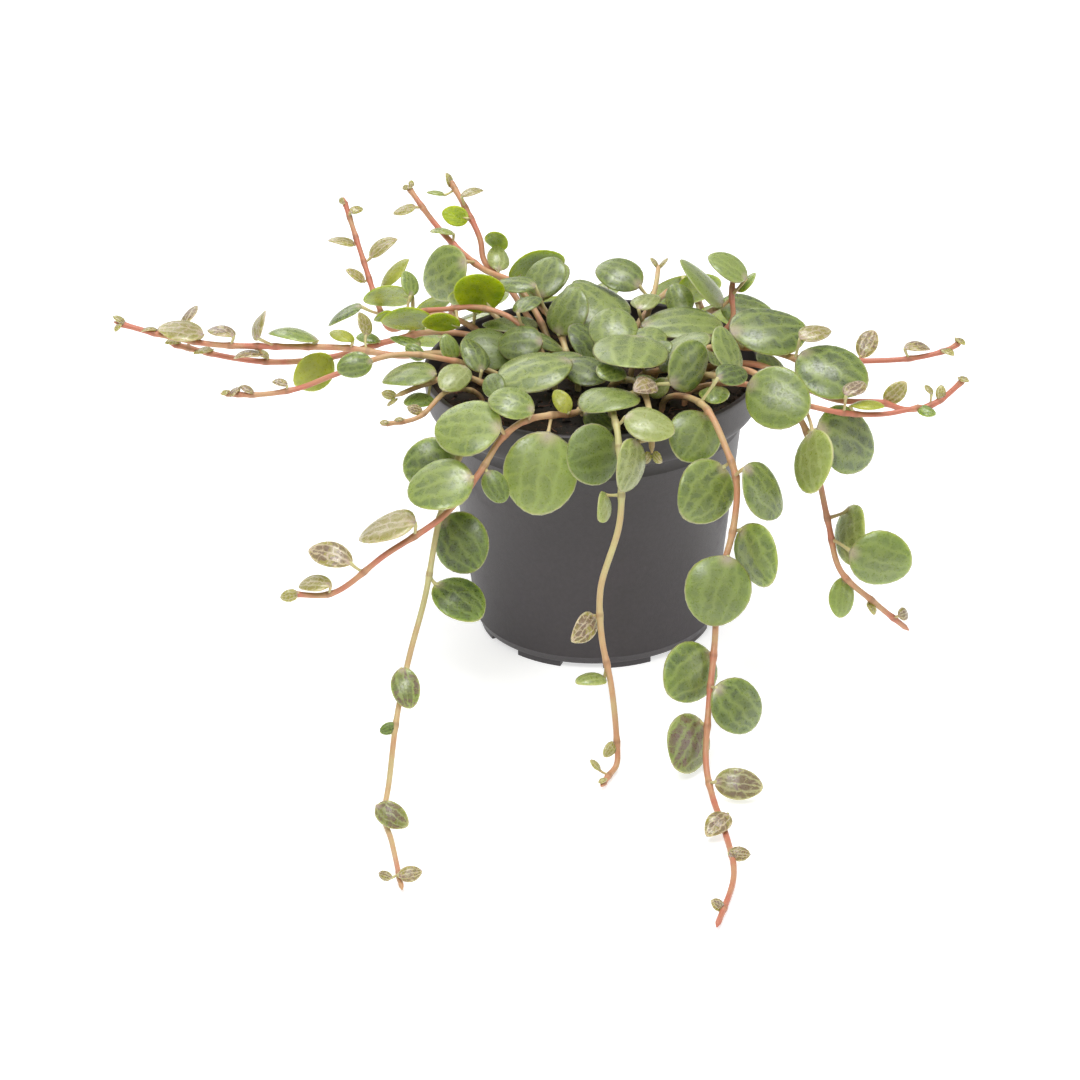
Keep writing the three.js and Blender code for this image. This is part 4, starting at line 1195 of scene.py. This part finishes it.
def scatter_spot(draw, margin):
    """A place on the soil, even over all of it but a margin along the rim."""
    radius = (RIM_RADIUS - RIM_WALL - margin) * math.sqrt(draw.random())
    angle = 2 * math.pi * draw.random()
    return radius * math.cos(angle), radius * math.sin(angle)


def make_crumbs(settings):
    """Small lumps of peat, half sunk in the soil's top."""
    draw = random.Random(41)
    put_down()
    bpy.ops.mesh.primitive_ico_sphere_add(subdivisions=1, radius=MM)
    pattern = bpy.context.object
    squashed(pattern, CRUMB_SHAPE)
    shape = vertex_places(pattern)
    crumbs = []
    for _ in range(settings.crumbs):
        crumb = copy_of(pattern)
        x, y = scatter_spot(draw, CRUMB_MARGIN)
        size = CRUMB_SMALLEST + CRUMB_RANGE * draw.random() ** CRUMB_FINENESS
        turn = Matrix.Rotation(draw.random() * math.tau, 3, Vector((draw.random(), draw.random(), 1)))
        rough = np.array([[1 + CRUMB_ROUGHNESS * (draw.random() - 0.5)] for _ in shape])
        places = (shape * rough * size) @ np.array(turn).T
        height = soil_height(x, y, settings.lumps / MM) + CRUMB_LIFT * size
        move_vertices(crumb, places + [x, y, height])
        crumbs.append(crumb)
    bpy.data.objects.remove(pattern)
    return joined(crumbs, "soil_crumbs")


def make_fibres(settings):
    """Bits of root that lie in shallow arches on the soil."""
    draw = random.Random(43)
    rows = []
    for _ in range(settings.fibres):
        x, y = scatter_spot(draw, FIBRE_MARGIN)
        turn = draw.random() * math.tau
        bend = draw.uniform(*FIBRE_BENDS)
        reach = draw.uniform(*FIBRE_LENGTHS)
        points = []
        for i in range(FIBRE_POINTS):
            share = i / (FIBRE_POINTS - 1) - 0.5
            angle = turn + bend * share
            px, py = x + reach * share * math.cos(angle), y + reach * share * math.sin(angle)
            arch = FIBRE_LIFT + FIBRE_ARCH * (0.25 - share ** 2)
            points.append((px, py, soil_height(px, py, settings.lumps / MM) + arch))
        radii = [draw.uniform(*FIBRE_RADII)] * FIBRE_POINTS
        rows.append((points, radii, [(draw.random(), 0, draw.random())] * FIBRE_POINTS))
    return tubes("soil_fibres", rows, 0)


def soil_material(settings):
    material, nodes, shader, _ = grained_material("peat", 700.0, 1.0)
    place = nodes.object_place()
    patch = nodes.noise(place, 160.0, 6.0, 0.7)
    colour = nodes.mix(nodes.step(patch, 0.42, 0.72), settings.dark, settings.light)
    speck = nodes.step(nodes.noise(place, 950.0, 2.0, 0.5), 0.62, 0.75, 0.0, 0.6)
    nodes.fill(shader, {
        "Base Color": nodes.mix(speck, colour, settings.fibre),
        "Roughness": nodes.step(patch, 0.3, 0.7, 0.85, 0.98),
    })
    return material


def fibre_material(settings):
    material, nodes, shader, grain = grained_material("root fibre", 1500.0, 0.5)
    shade, _, _ = nodes.split(nodes.attribute("stem_look"))
    nodes.fill(shader, {
        "Base Color": nodes.mix(shade, settings.light, settings.fibre),
        "Roughness": nodes.step(grain["Mottle"], 0.0, 1.0, 0.7, 0.9),
    })
    return material


# ------------------------------------------------------------------ stems and stalks

GREENISH_STEMS = ("front_trailing", "front_left_trailing")
THICKEST_STEM = 1.0
STEM_RING_STEP = 0.8
FIRST_KNUCKLE = 14.0
KNUCKLE_SPACING = 24.0
KNUCKLE_BREADTH = 1.1
TIP_ROUNDING = 1.6
PETIOLE_RADIUS = 0.5
PETIOLE_RINGS = 9
PETIOLE_SAG = 0.1
STEM_ROUNDNESS = 3
SCAR_SHARE = 0.4


def knuckle_spots(stem, draw):
    """Where the stem swells: at its leaves, and here and there between them."""
    length = stem.route.length
    spots = [leaf.along * length for leaf in stem.leaves]
    place = FIRST_KNUCKLE + 4 * draw.random()
    while place < length - 3:
        if all(abs(place - spot) > 0.55 * KNUCKLE_SPACING for spot in spots):
            spots.append(place)
        place += KNUCKLE_SPACING * draw.uniform(0.8, 1.2)
    return np.array(spots)


def stem_row(stem, knuckle, draw):
    """The stem's own rod. Its look is its redness, its swelling and a number of chance."""
    length = stem.route.length
    count = max(12, int(length / STEM_RING_STEP))
    shares = np.linspace(stem.start, 1.0, count)
    away = np.abs(shares[:, None] * length - knuckle_spots(stem, draw)[None]).min(axis=1)
    swell = np.exp(-((away / KNUCKLE_BREADTH) ** 2))
    left = (1 - shares) * length
    slim = 0.8 + 0.34 * shares
    thick = min(stem.plan.radius, THICKEST_STEM)
    radii = thick * (1 - (1 - STEM_TIP_SHARE) * shares) * slim * (1 + knuckle * swell)
    radii *= np.clip(0.3 + 0.7 * left / TIP_ROUNDING, 0, 1)
    if stem.name in GREENISH_STEMS:
        redness = np.clip(0.05 + 1.0 * (shares - 0.35), 0.05, 0.75)
    else:
        redness = stem.plan.redness * np.clip(0.55 + 0.9 * (shares - 0.15), 0.4, 1)
    points = np.array([stem.route.at(share) for share in shares])
    return points, radii, np.column_stack([redness, swell, np.full(count, draw.random())])


def petiole_row(leaf, draw):
    """A stalk from the stem to the blade: it leaves the stem wide and slips under the blade."""
    base = leaf.points(np.array([[0.0, -0.98]]), -0.15 * leaf.thickness)[0]
    inner = leaf.points(np.array([[0.0, -0.62]]), -0.35 * leaf.thickness)[0]
    way = base - leaf.node
    sag = -PETIOLE_SAG * math.sqrt(way @ way) * leaf.normal
    slim = min(1.0, 0.55 + leaf.half / 14)
    shares = np.linspace(0, 1, PETIOLE_RINGS)
    points = [leaf.node + way * share + sag * 4 * share * (1 - share) for share in shares]
    radii = [PETIOLE_RADIUS * slim * (1.15 - 0.35 * math.sin(math.pi * share)) for share in shares]
    flush = 0.15 + 0.35 * leaf.stem.plan.redness * draw.random()
    look = [(flush * (1 - share), 0, draw.random()) for share in [*shares, 1.0]]
    return np.array([*points, inner]), [*radii, 0.35 * PETIOLE_RADIUS * slim], look


def make_shoot(stem, settings, draw):
    rows = [stem_row(stem, settings.knuckle, draw)]
    rows += [petiole_row(leaf, draw) for leaf in stem.leaves]
    return tubes("shoot_" + stem.name, rows, STEM_ROUNDNESS)


def stem_material(settings):
    material, nodes, shader, grain = grained_material("stem skin", 420.0, 0.6)
    redness, swell, _ = nodes.split(nodes.attribute("stem_look"))
    flush = nodes.step(nodes.noise(nodes.object_place(), 130.0, 3.0), 0.3, 0.7, -0.22, 0.22)
    share = nodes.math("MINIMUM", nodes.math("MAXIMUM", redness + flush, 0.0), 1.0)
    colour = nodes.mix(share, settings.pale, settings.ripe)
    scar = nodes.step(swell, 0.55, 1.0)
    nodes.fill(shader, {
        "Base Color": nodes.mix(scar * SCAR_SHARE, colour, settings.scar),
        "Roughness": nodes.step(grain["Mottle"], 0.0, 1.0, 0.38, 0.52),
        "Subsurface Weight": 0.15,
        "Subsurface Radius": (1.0, 0.5, 0.25),
        "Subsurface Scale": 0.0012,
    })
    return material


# ------------------------------------------------------------------ leaves

LANE_WIDTH = 0.46
CELL_DENSITY = 2.1
BLADE_ROUNDS = (24, 10)
BUD_ROUNDS = (12, 6)
BLANK_SHAPE = (1, 1, 0.12)
BLADE_FULLNESS = 0.7
# How often each wave runs round a blade's outline, and how high it is.
OUTLINE_WAVES = ((2, 0.016), (3, 0.010), (5, 0.006))
TIP_BUD_LENGTH = 3.6
LAST_LEAF = 0.93
RELIEF = 0.0004
# How strongly each mark shows on a leaf.
PALE_WAX, VEIN_WAX, SPECK_WAX, MOTTLE_WAX = 0.45, 0.14, 0.2, 0.06
MARGIN_CREAM, BASE_CREAM = 0.22, 0.45
BACK_VEIN, BACK_OLIVE = 0.2, 0.7
# What the letters of a stem's shades mean: how young, how deep a green, how pale, how blotched
# and how clear a leaf is. The deep green is partly the leaf's own and partly painted shade, for
# leaves in the shade of others. A clear leaf shows its back's colour on top, as painted light
# shining through it.
SHADES = {
    "s": (0.0, 0.15, 0.25, 0.0, 0.0),  # sage
    "m": (0.0, 0.5, 0.0, 0.0, 0.0),  # mid green
    "d": (0.0, 0.95, 0.0, 0.0, 0.0),  # deep green, partly painted shade
    "p": (0.2, 0.0, 0.8, 0.0, 0.0),  # pale
    "l": (0.0, 0.8, 0.0, 0.0, 1.0),  # lime, with the light through it
    "k": (0.6, 0.9, 0.0, 0.0, 1.0),  # olive, with the light through it
    "h": (0.15, 0.5, 0.0, 0.6, 0.0),  # green with some blotches
    "b": (0.6, 0.5, 0.0, 0.85, 0.0),  # half young and blotched
    "v": (0.4, 0.9, 0.0, 0.75, 0.0),  # half young, deep and blotched
    "y": (1.0, 0.2, 0.0, 0.85, 0.0),  # young and blotched
    "o": (0.85, 0.4, 0.0, 0.0, 0.0),  # young and olive
}


def blank_blade(segments, rings):
    """A smooth flat pebble with a radius of one, which every blade is shaped from."""
    put_down()
    bpy.ops.mesh.primitive_uv_sphere_add(segments=segments, ring_count=rings, radius=MM)
    blank = bpy.context.object
    squashed(blank, BLANK_SHAPE)
    bpy.ops.object.shade_smooth()
    return blank


def shaped_blade(blank, leaf, edge, look, draw):
    """One blade: its outline, its rounded edge, its dome and a little warp of its own."""
    blade = copy_of(blank)
    raw = vertex_places(blade)
    radius = np.minimum(np.hypot(raw[:, 0], raw[:, 1]), 1.0)
    angle = np.arctan2(raw[:, 0], raw[:, 1])
    young, deep_and_shade, pale, blotched, clear = look
    tip = (0.02 + 0.1 * young) * np.exp(-((angle / 0.4) ** 2))
    heel = 0.04 * np.exp(-(((math.pi - np.abs(angle)) / 0.3) ** 2))
    waves = sum(
        height * np.cos(count * angle + draw.random() * math.tau) for count, height in OUTLINE_WAVES
    )
    reach = radius * (1 + tip + heel + radius ** 2 * waves)
    across, along = reach * np.sin(angle), reach * np.cos(angle)
    thick = BLADE_FULLNESS * leaf.thickness
    rim = min(edge, 0.85 * thick)
    full = rim / 2 * np.sqrt(np.maximum(0, 1 - radius ** 8)) + (thick - rim) / 2 * (1 - radius ** 2)
    height = np.sign(raw[:, 2]) * np.where(np.abs(raw[:, 2]) < 1e-6, 0, full)
    phase = draw.random() * math.tau
    bends = [
        0.045 * radius ** 2 * np.cos(2 * angle + phase),
        0.018 * radius ** 3 * np.cos(3 * angle - phase),
        (draw.random() - 0.5) * 0.06 * along * radius,
        draw.uniform(-0.03, 0.06) * (1 - young) * (radius ** 2 - 0.35),
        draw.uniform(0.0, 0.06) * (np.sqrt(across ** 2 + 0.01) - 0.3),
        young * 0.10 * np.abs(across),
    ]
    places = np.column_stack([across, along])
    move_vertices(blade, leaf.points(places, height + leaf.half * sum(bends)))
    # The back's colour marks the underside, and a clear leaf takes it on both faces as painted light
    # shining through it.
    underside_and_shine_through = np.maximum(np.clip(0.5 - raw[:, 2] / 0.06, 0, 1), clear)
    same = np.ones(len(raw))
    note(blade, "leaf_place", np.column_stack([across, along, draw.random() * same]))
    note(blade, "leaf_look", np.column_stack([young * same, deep_and_shade * same, underside_and_shine_through]))
    note(blade, "leaf_tint", np.column_stack([pale * same, blotched * same, draw.random() * same]))
    return blade


def leaf_look(letter, draw):
    """The leaf's share of each look, with a little chance in it."""
    young, deep_and_shade, pale, blotched, clear = SHADES[letter]
    deep_and_shade = min(1.0, max(0.0, deep_and_shade + 0.3 * (draw.random() - 0.5)))
    pale = min(1.0, max(0.0, pale + 0.3 * (draw.random() - 0.5)))
    return young, deep_and_shade, pale, blotched, clear


def tip_buds(stem):
    """Two small leaflets in a V, where the stem has no leaf close to its tip."""
    if stem.leaves and max(leaf.along for leaf in stem.leaves) > LAST_LEAF:
        return []
    tangent = stem.route.tangent(1.0)
    lift = unit(square_to(facing(*stem.plan.faces), tangent))
    right = np.cross(tangent, lift)
    buds = []
    for side in (-1, 1):
        normal = unit(lift - 0.9 * side * right + 0.2 * tangent)
        azimuth = math.degrees(math.atan2(normal[0], -normal[1]))
        plan = (1.0, 0.3 * side, TIP_BUD_LENGTH, azimuth, math.degrees(math.asin(normal[2])))
        spot = (stem.middle(1.0), tangent, np.zeros(3), right)
        buds.append(Leaf(stem, spot, plan, (1, 0, 0, 0)))
    return buds


def make_leaves(stem, blank, bud_blank, settings, draw):
    """All blades of a stem. A leaf that fills the crown has no letter, and is mid green."""
    letters = dict(zip(stem.plan.leaves, stem.plan.shades))
    pairs = [(bud, "o") for bud in tip_buds(stem)]
    pairs += [(leaf, letters.get(leaf.plan, "m")) for leaf in stem.leaves]
    blades = []
    for leaf, letter in pairs:
        start = bud_blank if leaf.half < BUD_HALF else blank
        blades.append(shaped_blade(start, leaf, settings.edge / MM, leaf_look(letter, draw), draw))
    return joined(blades, "leaves_" + stem.name)


def leaf_top(nodes, settings, pattern, looks, mottle):
    """Colour of a leaf's upper face: a soft net of veins over darker cells."""
    young, deep_and_shade, pale_share, blotched, chance = looks
    cell, shade = pattern["Cell"], pattern["Shade"]
    # The deep share darkens cells and veins, partly as the leaf's own green and partly as painted shade.
    dark = nodes.mix(deep_and_shade, settings.sage, settings.deep_and_shade)
    pale = nodes.mix(deep_and_shade, settings.sage_vein, settings.deep_and_shade_vein)
    contrast = nodes.step(pattern["Cloud"] * 0.6 + chance * 0.4, 0.3, 0.62, 0.45, 1.0)
    contrast = contrast * nodes.step(shade, 0.0, 1.0, 0.55, 1.0)
    grown = nodes.mix(cell * contrast, pale, dark)
    grown = nodes.mix(pale_share * PALE_WAX, grown, settings.wax)
    # A young leaf has cream veins round olive cells.
    tan = nodes.mix(nodes.step(cell, 0.0, 0.8, 0.35, 1.0), settings.cream, settings.olive)
    top = nodes.mix(young, grown, tan)
    # Some cells carry a purple-brown blotch.
    stained = nodes.step(shade - (1.0 - blotched), 0.0, 0.08) * nodes.step(cell, 0.12, 0.5)
    faint = nodes.step(young, 0.0, 1.0, 0.8, 0.72)
    top = nodes.mix(stained * faint, top, settings.purple)
    # Wax gathers along the veins, in specks and in a fine mottle.
    waxed = ((pattern["Vein"], VEIN_WAX), (pattern["Speck"], SPECK_WAX), (mottle, MOTTLE_WAX))
    for mask, share in waxed:
        top = nodes.mix(mask * share, top, settings.wax)
    rim = nodes.math("MAXIMUM", pattern["Margin"] * MARGIN_CREAM, pattern["Base"] * BASE_CREAM)
    return nodes.mix(rim, top, settings.cream)


def leaf_back(nodes, settings, pattern, young):
    """Colour of a leaf's back, and of a leaf that the light shines through."""
    back = nodes.mix(nodes.step(pattern["Cloud"], 0.3, 0.7), settings.lime, settings.moss)
    back = nodes.mix(pattern["Vein"] * BACK_VEIN, back, settings.sage_vein)
    return nodes.mix(young * BACK_OLIVE, back, settings.olive)


def leaf_material(settings):
    material, nodes, shader, grain = grained_material("leaf", 1700.0, 0.6)
    young, deep_and_shade, side = nodes.split(nodes.attribute("leaf_look"))
    pale_share, blotched, chance = nodes.split(nodes.attribute("leaf_tint"))
    given = {"Place": nodes.attribute("leaf_place"), "Lane": LANE_WIDTH, "Cells": CELL_DENSITY}
    pattern = nodes.group(leaf_pattern_group(), given)
    mottle = grain["Mottle"]
    top = leaf_top(nodes, settings, pattern, (young, deep_and_shade, pale_share, blotched, chance), mottle)
    back = leaf_back(nodes, settings, pattern, young)
    relief = pattern["Cell"] * 0.6 + pattern["Cloud"] * 1.5
    raised = nodes.value(
        "ShaderNodeBump", "Normal",
        {"Strength": 0.35, "Distance": RELIEF, "Height": relief, "Normal": grain["Normal"]},
    )
    # The mottle breaks the wax coat, which is thinner on deep green leaves, as these partly stand for
    # leaves in shade.
    waxy = nodes.step(mottle, 0.25, 0.75, 0.4 * settings.sheen, settings.sheen)
    nodes.fill(shader, {
        "Base Color": nodes.mix(nodes.step(side, 0.55, 0.95), top, back),
        "Roughness": nodes.step(mottle, 0.0, 1.0, 0.26, 0.44),
        "Normal": raised,
        "Subsurface Weight": 0.6,
        "Subsurface Radius": (0.8, 1.0, 0.25),
        "Subsurface Scale": 0.0028,
        "Specular IOR Level": 0.6,
        "Coat Weight": waxy * nodes.step(deep_and_shade, 0.5, 1.0, 1.0, 0.5),
        "Coat Roughness": 0.27,
        "Coat IOR": 1.6,
    })
    return material


# ------------------------------------------------------------------ the stage

FLOOR_SIZE = 6.0
CAMERA_TARGET = (-14.17, 0.0, 21.46)
CAMERA_DISTANCE = 900.0
CAMERA_ELEVATION = 26.983
CAMERA_ROLL = -1.263
CAMERA_LENS = 116.85
CAMERA_FILM = 36.0
# Metres: each lamp's name, place, aim and size, its power against the key light, and its colour.
LAMPS = (
    ("key_lamp", (0.08, 0.1, 0.85), (0, 0, 0.06), 0.34, 1.0, (1, 1, 1)),
    ("front_lamp", (-0.16, -0.54, 0.74), (0, 0, 0.05), 0.36, 1.0, (1, 1, 1)),
    ("back_lamp", (-0.5, 1.1, 0.75), (0, 0, 0.05), 0.8, 1.2, (1, 1, 1)),
    ("side_lamp", (1.1, -0.25, 0.35), (0, 0, 0.04), 0.6, 0.5, (0.98, 0.96, 1.0)),
)


def make_floor(settings):
    put_down()
    bpy.ops.mesh.primitive_plane_add(size=FLOOR_SIZE)
    floor = bpy.context.object
    floor.name = "studio_floor"
    material, nodes, shader = new_material("floor paper")
    faint = nodes.step(nodes.noise(nodes.object_place(), 8.0, 3.0), 0.3, 0.7, 0.0, 0.02)
    nodes.fill(shader, {
        "Base Color": nodes.mix(faint, settings.floor, (0.8, 0.8, 0.8)),
        "Roughness": 0.9,
        "Specular IOR Level": 0.1,
        "Emission Color": (1, 1, 1),
        "Emission Strength": settings.glow,
    })
    floor.data.materials.append(material)


def make_lamp(name, place, aim, size, power, colour):
    put_down()
    bpy.ops.object.light_add(type="AREA", location=place)
    lamp = bpy.context.object
    lamp.name = name
    lamp.data.shape = "SQUARE"
    lamp.data.size = size
    lamp.data.energy = power
    lamp.data.color = colour
    lamp.rotation_mode = "QUATERNION"
    lamp.rotation_quaternion = (Vector(aim) - Vector(place)).to_track_quat("-Z", "Y")


def make_sky(settings):
    world = bpy.data.worlds.new("studio")
    world.use_nodes = True
    background = world.node_tree.nodes["Background"]
    Nodes(world.node_tree).fill(background, {"Color": (1, 1, 1), "Strength": settings.sky})
    bpy.context.scene.world = world


def make_camera():
    lift = math.radians(CAMERA_ELEVATION)
    back = Vector((0, -math.cos(lift), math.sin(lift)))
    target = Vector(CAMERA_TARGET) * MM
    put_down()
    bpy.ops.object.camera_add(location=target + back * CAMERA_DISTANCE * MM)
    camera = bpy.context.object
    camera.rotation_mode = "QUATERNION"
    look = (-back).to_track_quat("-Z", "Y")
    camera.rotation_quaternion = look @ Matrix.Rotation(math.radians(CAMERA_ROLL), 4, "Z").to_quaternion()
    camera.data.lens = CAMERA_LENS
    camera.data.sensor_width = CAMERA_FILM
    camera.data.clip_start, camera.data.clip_end = 0.01, 20.0
    bpy.context.scene.camera = camera


# ------------------------------------------------------------------ operators

PLANT = {}


def plant_stems():
    """The stems with their leaves in place, worked out once."""
    if "stems" not in PLANT:
        PLANT["stems"] = grow()
    return PLANT["stems"]


class PEPEROMIA_OT_stage(bpy.types.Operator):
    """Lay the floor, hang the lamps and set up the camera"""

    bl_idname = "peperomia.stage"
    bl_label = "Set the stage"

    def execute(self, context):
        settings = context.scene.peperomia_stage
        make_floor(settings)
        make_sky(settings)
        for name, place, aim, size, power, colour in LAMPS:
            make_lamp(name, place, aim, size, settings.key * power, colour)
        make_camera()
        context.scene.view_settings.view_transform = "Standard"
        return {"FINISHED"}


class PEPEROMIA_OT_pot(bpy.types.Operator):
    """Turn the nursery pot, with its rim band, rings, feet and drain holes"""

    bl_idname = "peperomia.pot"
    bl_label = "Make the pot"

    def execute(self, context):
        settings = context.scene.peperomia_pot
        hand_over(make_pot(settings), pot_plastic(settings), "pot", "pot")
        return {"FINISHED"}


class PEPEROMIA_OT_soil(bpy.types.Operator):
    """Fill the pot with soil and strew it with crumbs and fibres"""

    bl_idname = "peperomia.soil"
    bl_label = "Make the soil"

    def execute(self, context):
        settings = context.scene.peperomia_soil
        peat = soil_material(settings)
        hand_over(make_soil(settings), peat, "soil", "soil")
        hand_over(make_crumbs(settings), peat, "soil", "soil")
        hand_over(make_fibres(settings), fibre_material(settings), "soil", "soil")
        return {"FINISHED"}


class PEPEROMIA_OT_shoots(bpy.types.Operator):
    """Draw the stems and the stalks of their leaves"""

    bl_idname = "peperomia.shoots"
    bl_label = "Make the stems"

    def execute(self, context):
        settings = context.scene.peperomia_stem
        skin = stem_material(settings)
        for number, stem in enumerate(plant_stems()):
            shoot = make_shoot(stem, settings, random.Random(100 + number))
            hand_over(shoot, skin, "foliage", "stem_" + stem.name)
        return {"FINISHED"}


class PEPEROMIA_OT_leaves(bpy.types.Operator):
    """Shape the leaves of every stem"""

    bl_idname = "peperomia.leaves"
    bl_label = "Make the leaves"

    def execute(self, context):
        settings = context.scene.peperomia_leaf
        blank, bud_blank = blank_blade(*BLADE_ROUNDS), blank_blade(*BUD_ROUNDS)
        skin = leaf_material(settings)
        for number, stem in enumerate(plant_stems()):
            leaves = make_leaves(stem, blank, bud_blank, settings, random.Random(500 + number))
            hand_over(leaves, skin, "foliage", "stem_" + stem.name)
        bpy.data.objects.remove(blank)
        bpy.data.objects.remove(bud_blank)
        return {"FINISHED"}


class PEPEROMIA_PT_panel(bpy.types.Panel):
    """The steps and settings of the potted plant"""

    bl_idname = "PEPEROMIA_PT_panel"
    bl_label = "Trailing Peperomia"
    bl_space_type = "VIEW_3D"
    bl_region_type = "UI"
    bl_category = "Peperomia"

    def draw(self, context):
        for operator, name, _ in STEPS:
            box = self.layout.box()
            box.operator(operator.bl_idname)
            group = getattr(context.scene, name)
            for setting in group.__annotations__:
                box.prop(group, setting)


STEPS = (
    (PEPEROMIA_OT_stage, "peperomia_stage", StageSettings),
    (PEPEROMIA_OT_pot, "peperomia_pot", PotSettings),
    (PEPEROMIA_OT_soil, "peperomia_soil", SoilSettings),
    (PEPEROMIA_OT_shoots, "peperomia_stem", StemSettings),
    (PEPEROMIA_OT_leaves, "peperomia_leaf", LeafSettings),
)
CLASSES = (*(group for _, _, group in STEPS), *(operator for operator, _, _ in STEPS), PEPEROMIA_PT_panel)


def register():
    for item in CLASSES:
        bpy.utils.register_class(item)
    for _, name, group in STEPS:
        setattr(bpy.types.Scene, name, PointerProperty(type=group))


def unregister():
    for _, name, _ in STEPS:
        delattr(bpy.types.Scene, name)
    for item in reversed(CLASSES):
        bpy.utils.unregister_class(item)


def main():
    register()
    bpy.ops.peperomia.stage()
    bpy.ops.peperomia.pot()
    bpy.ops.peperomia.soil()
    bpy.ops.peperomia.shoots()
    bpy.ops.peperomia.leaves()
    put_down()
    bpy.context.view_layer.update()


if __name__ == "__main__":
    main()
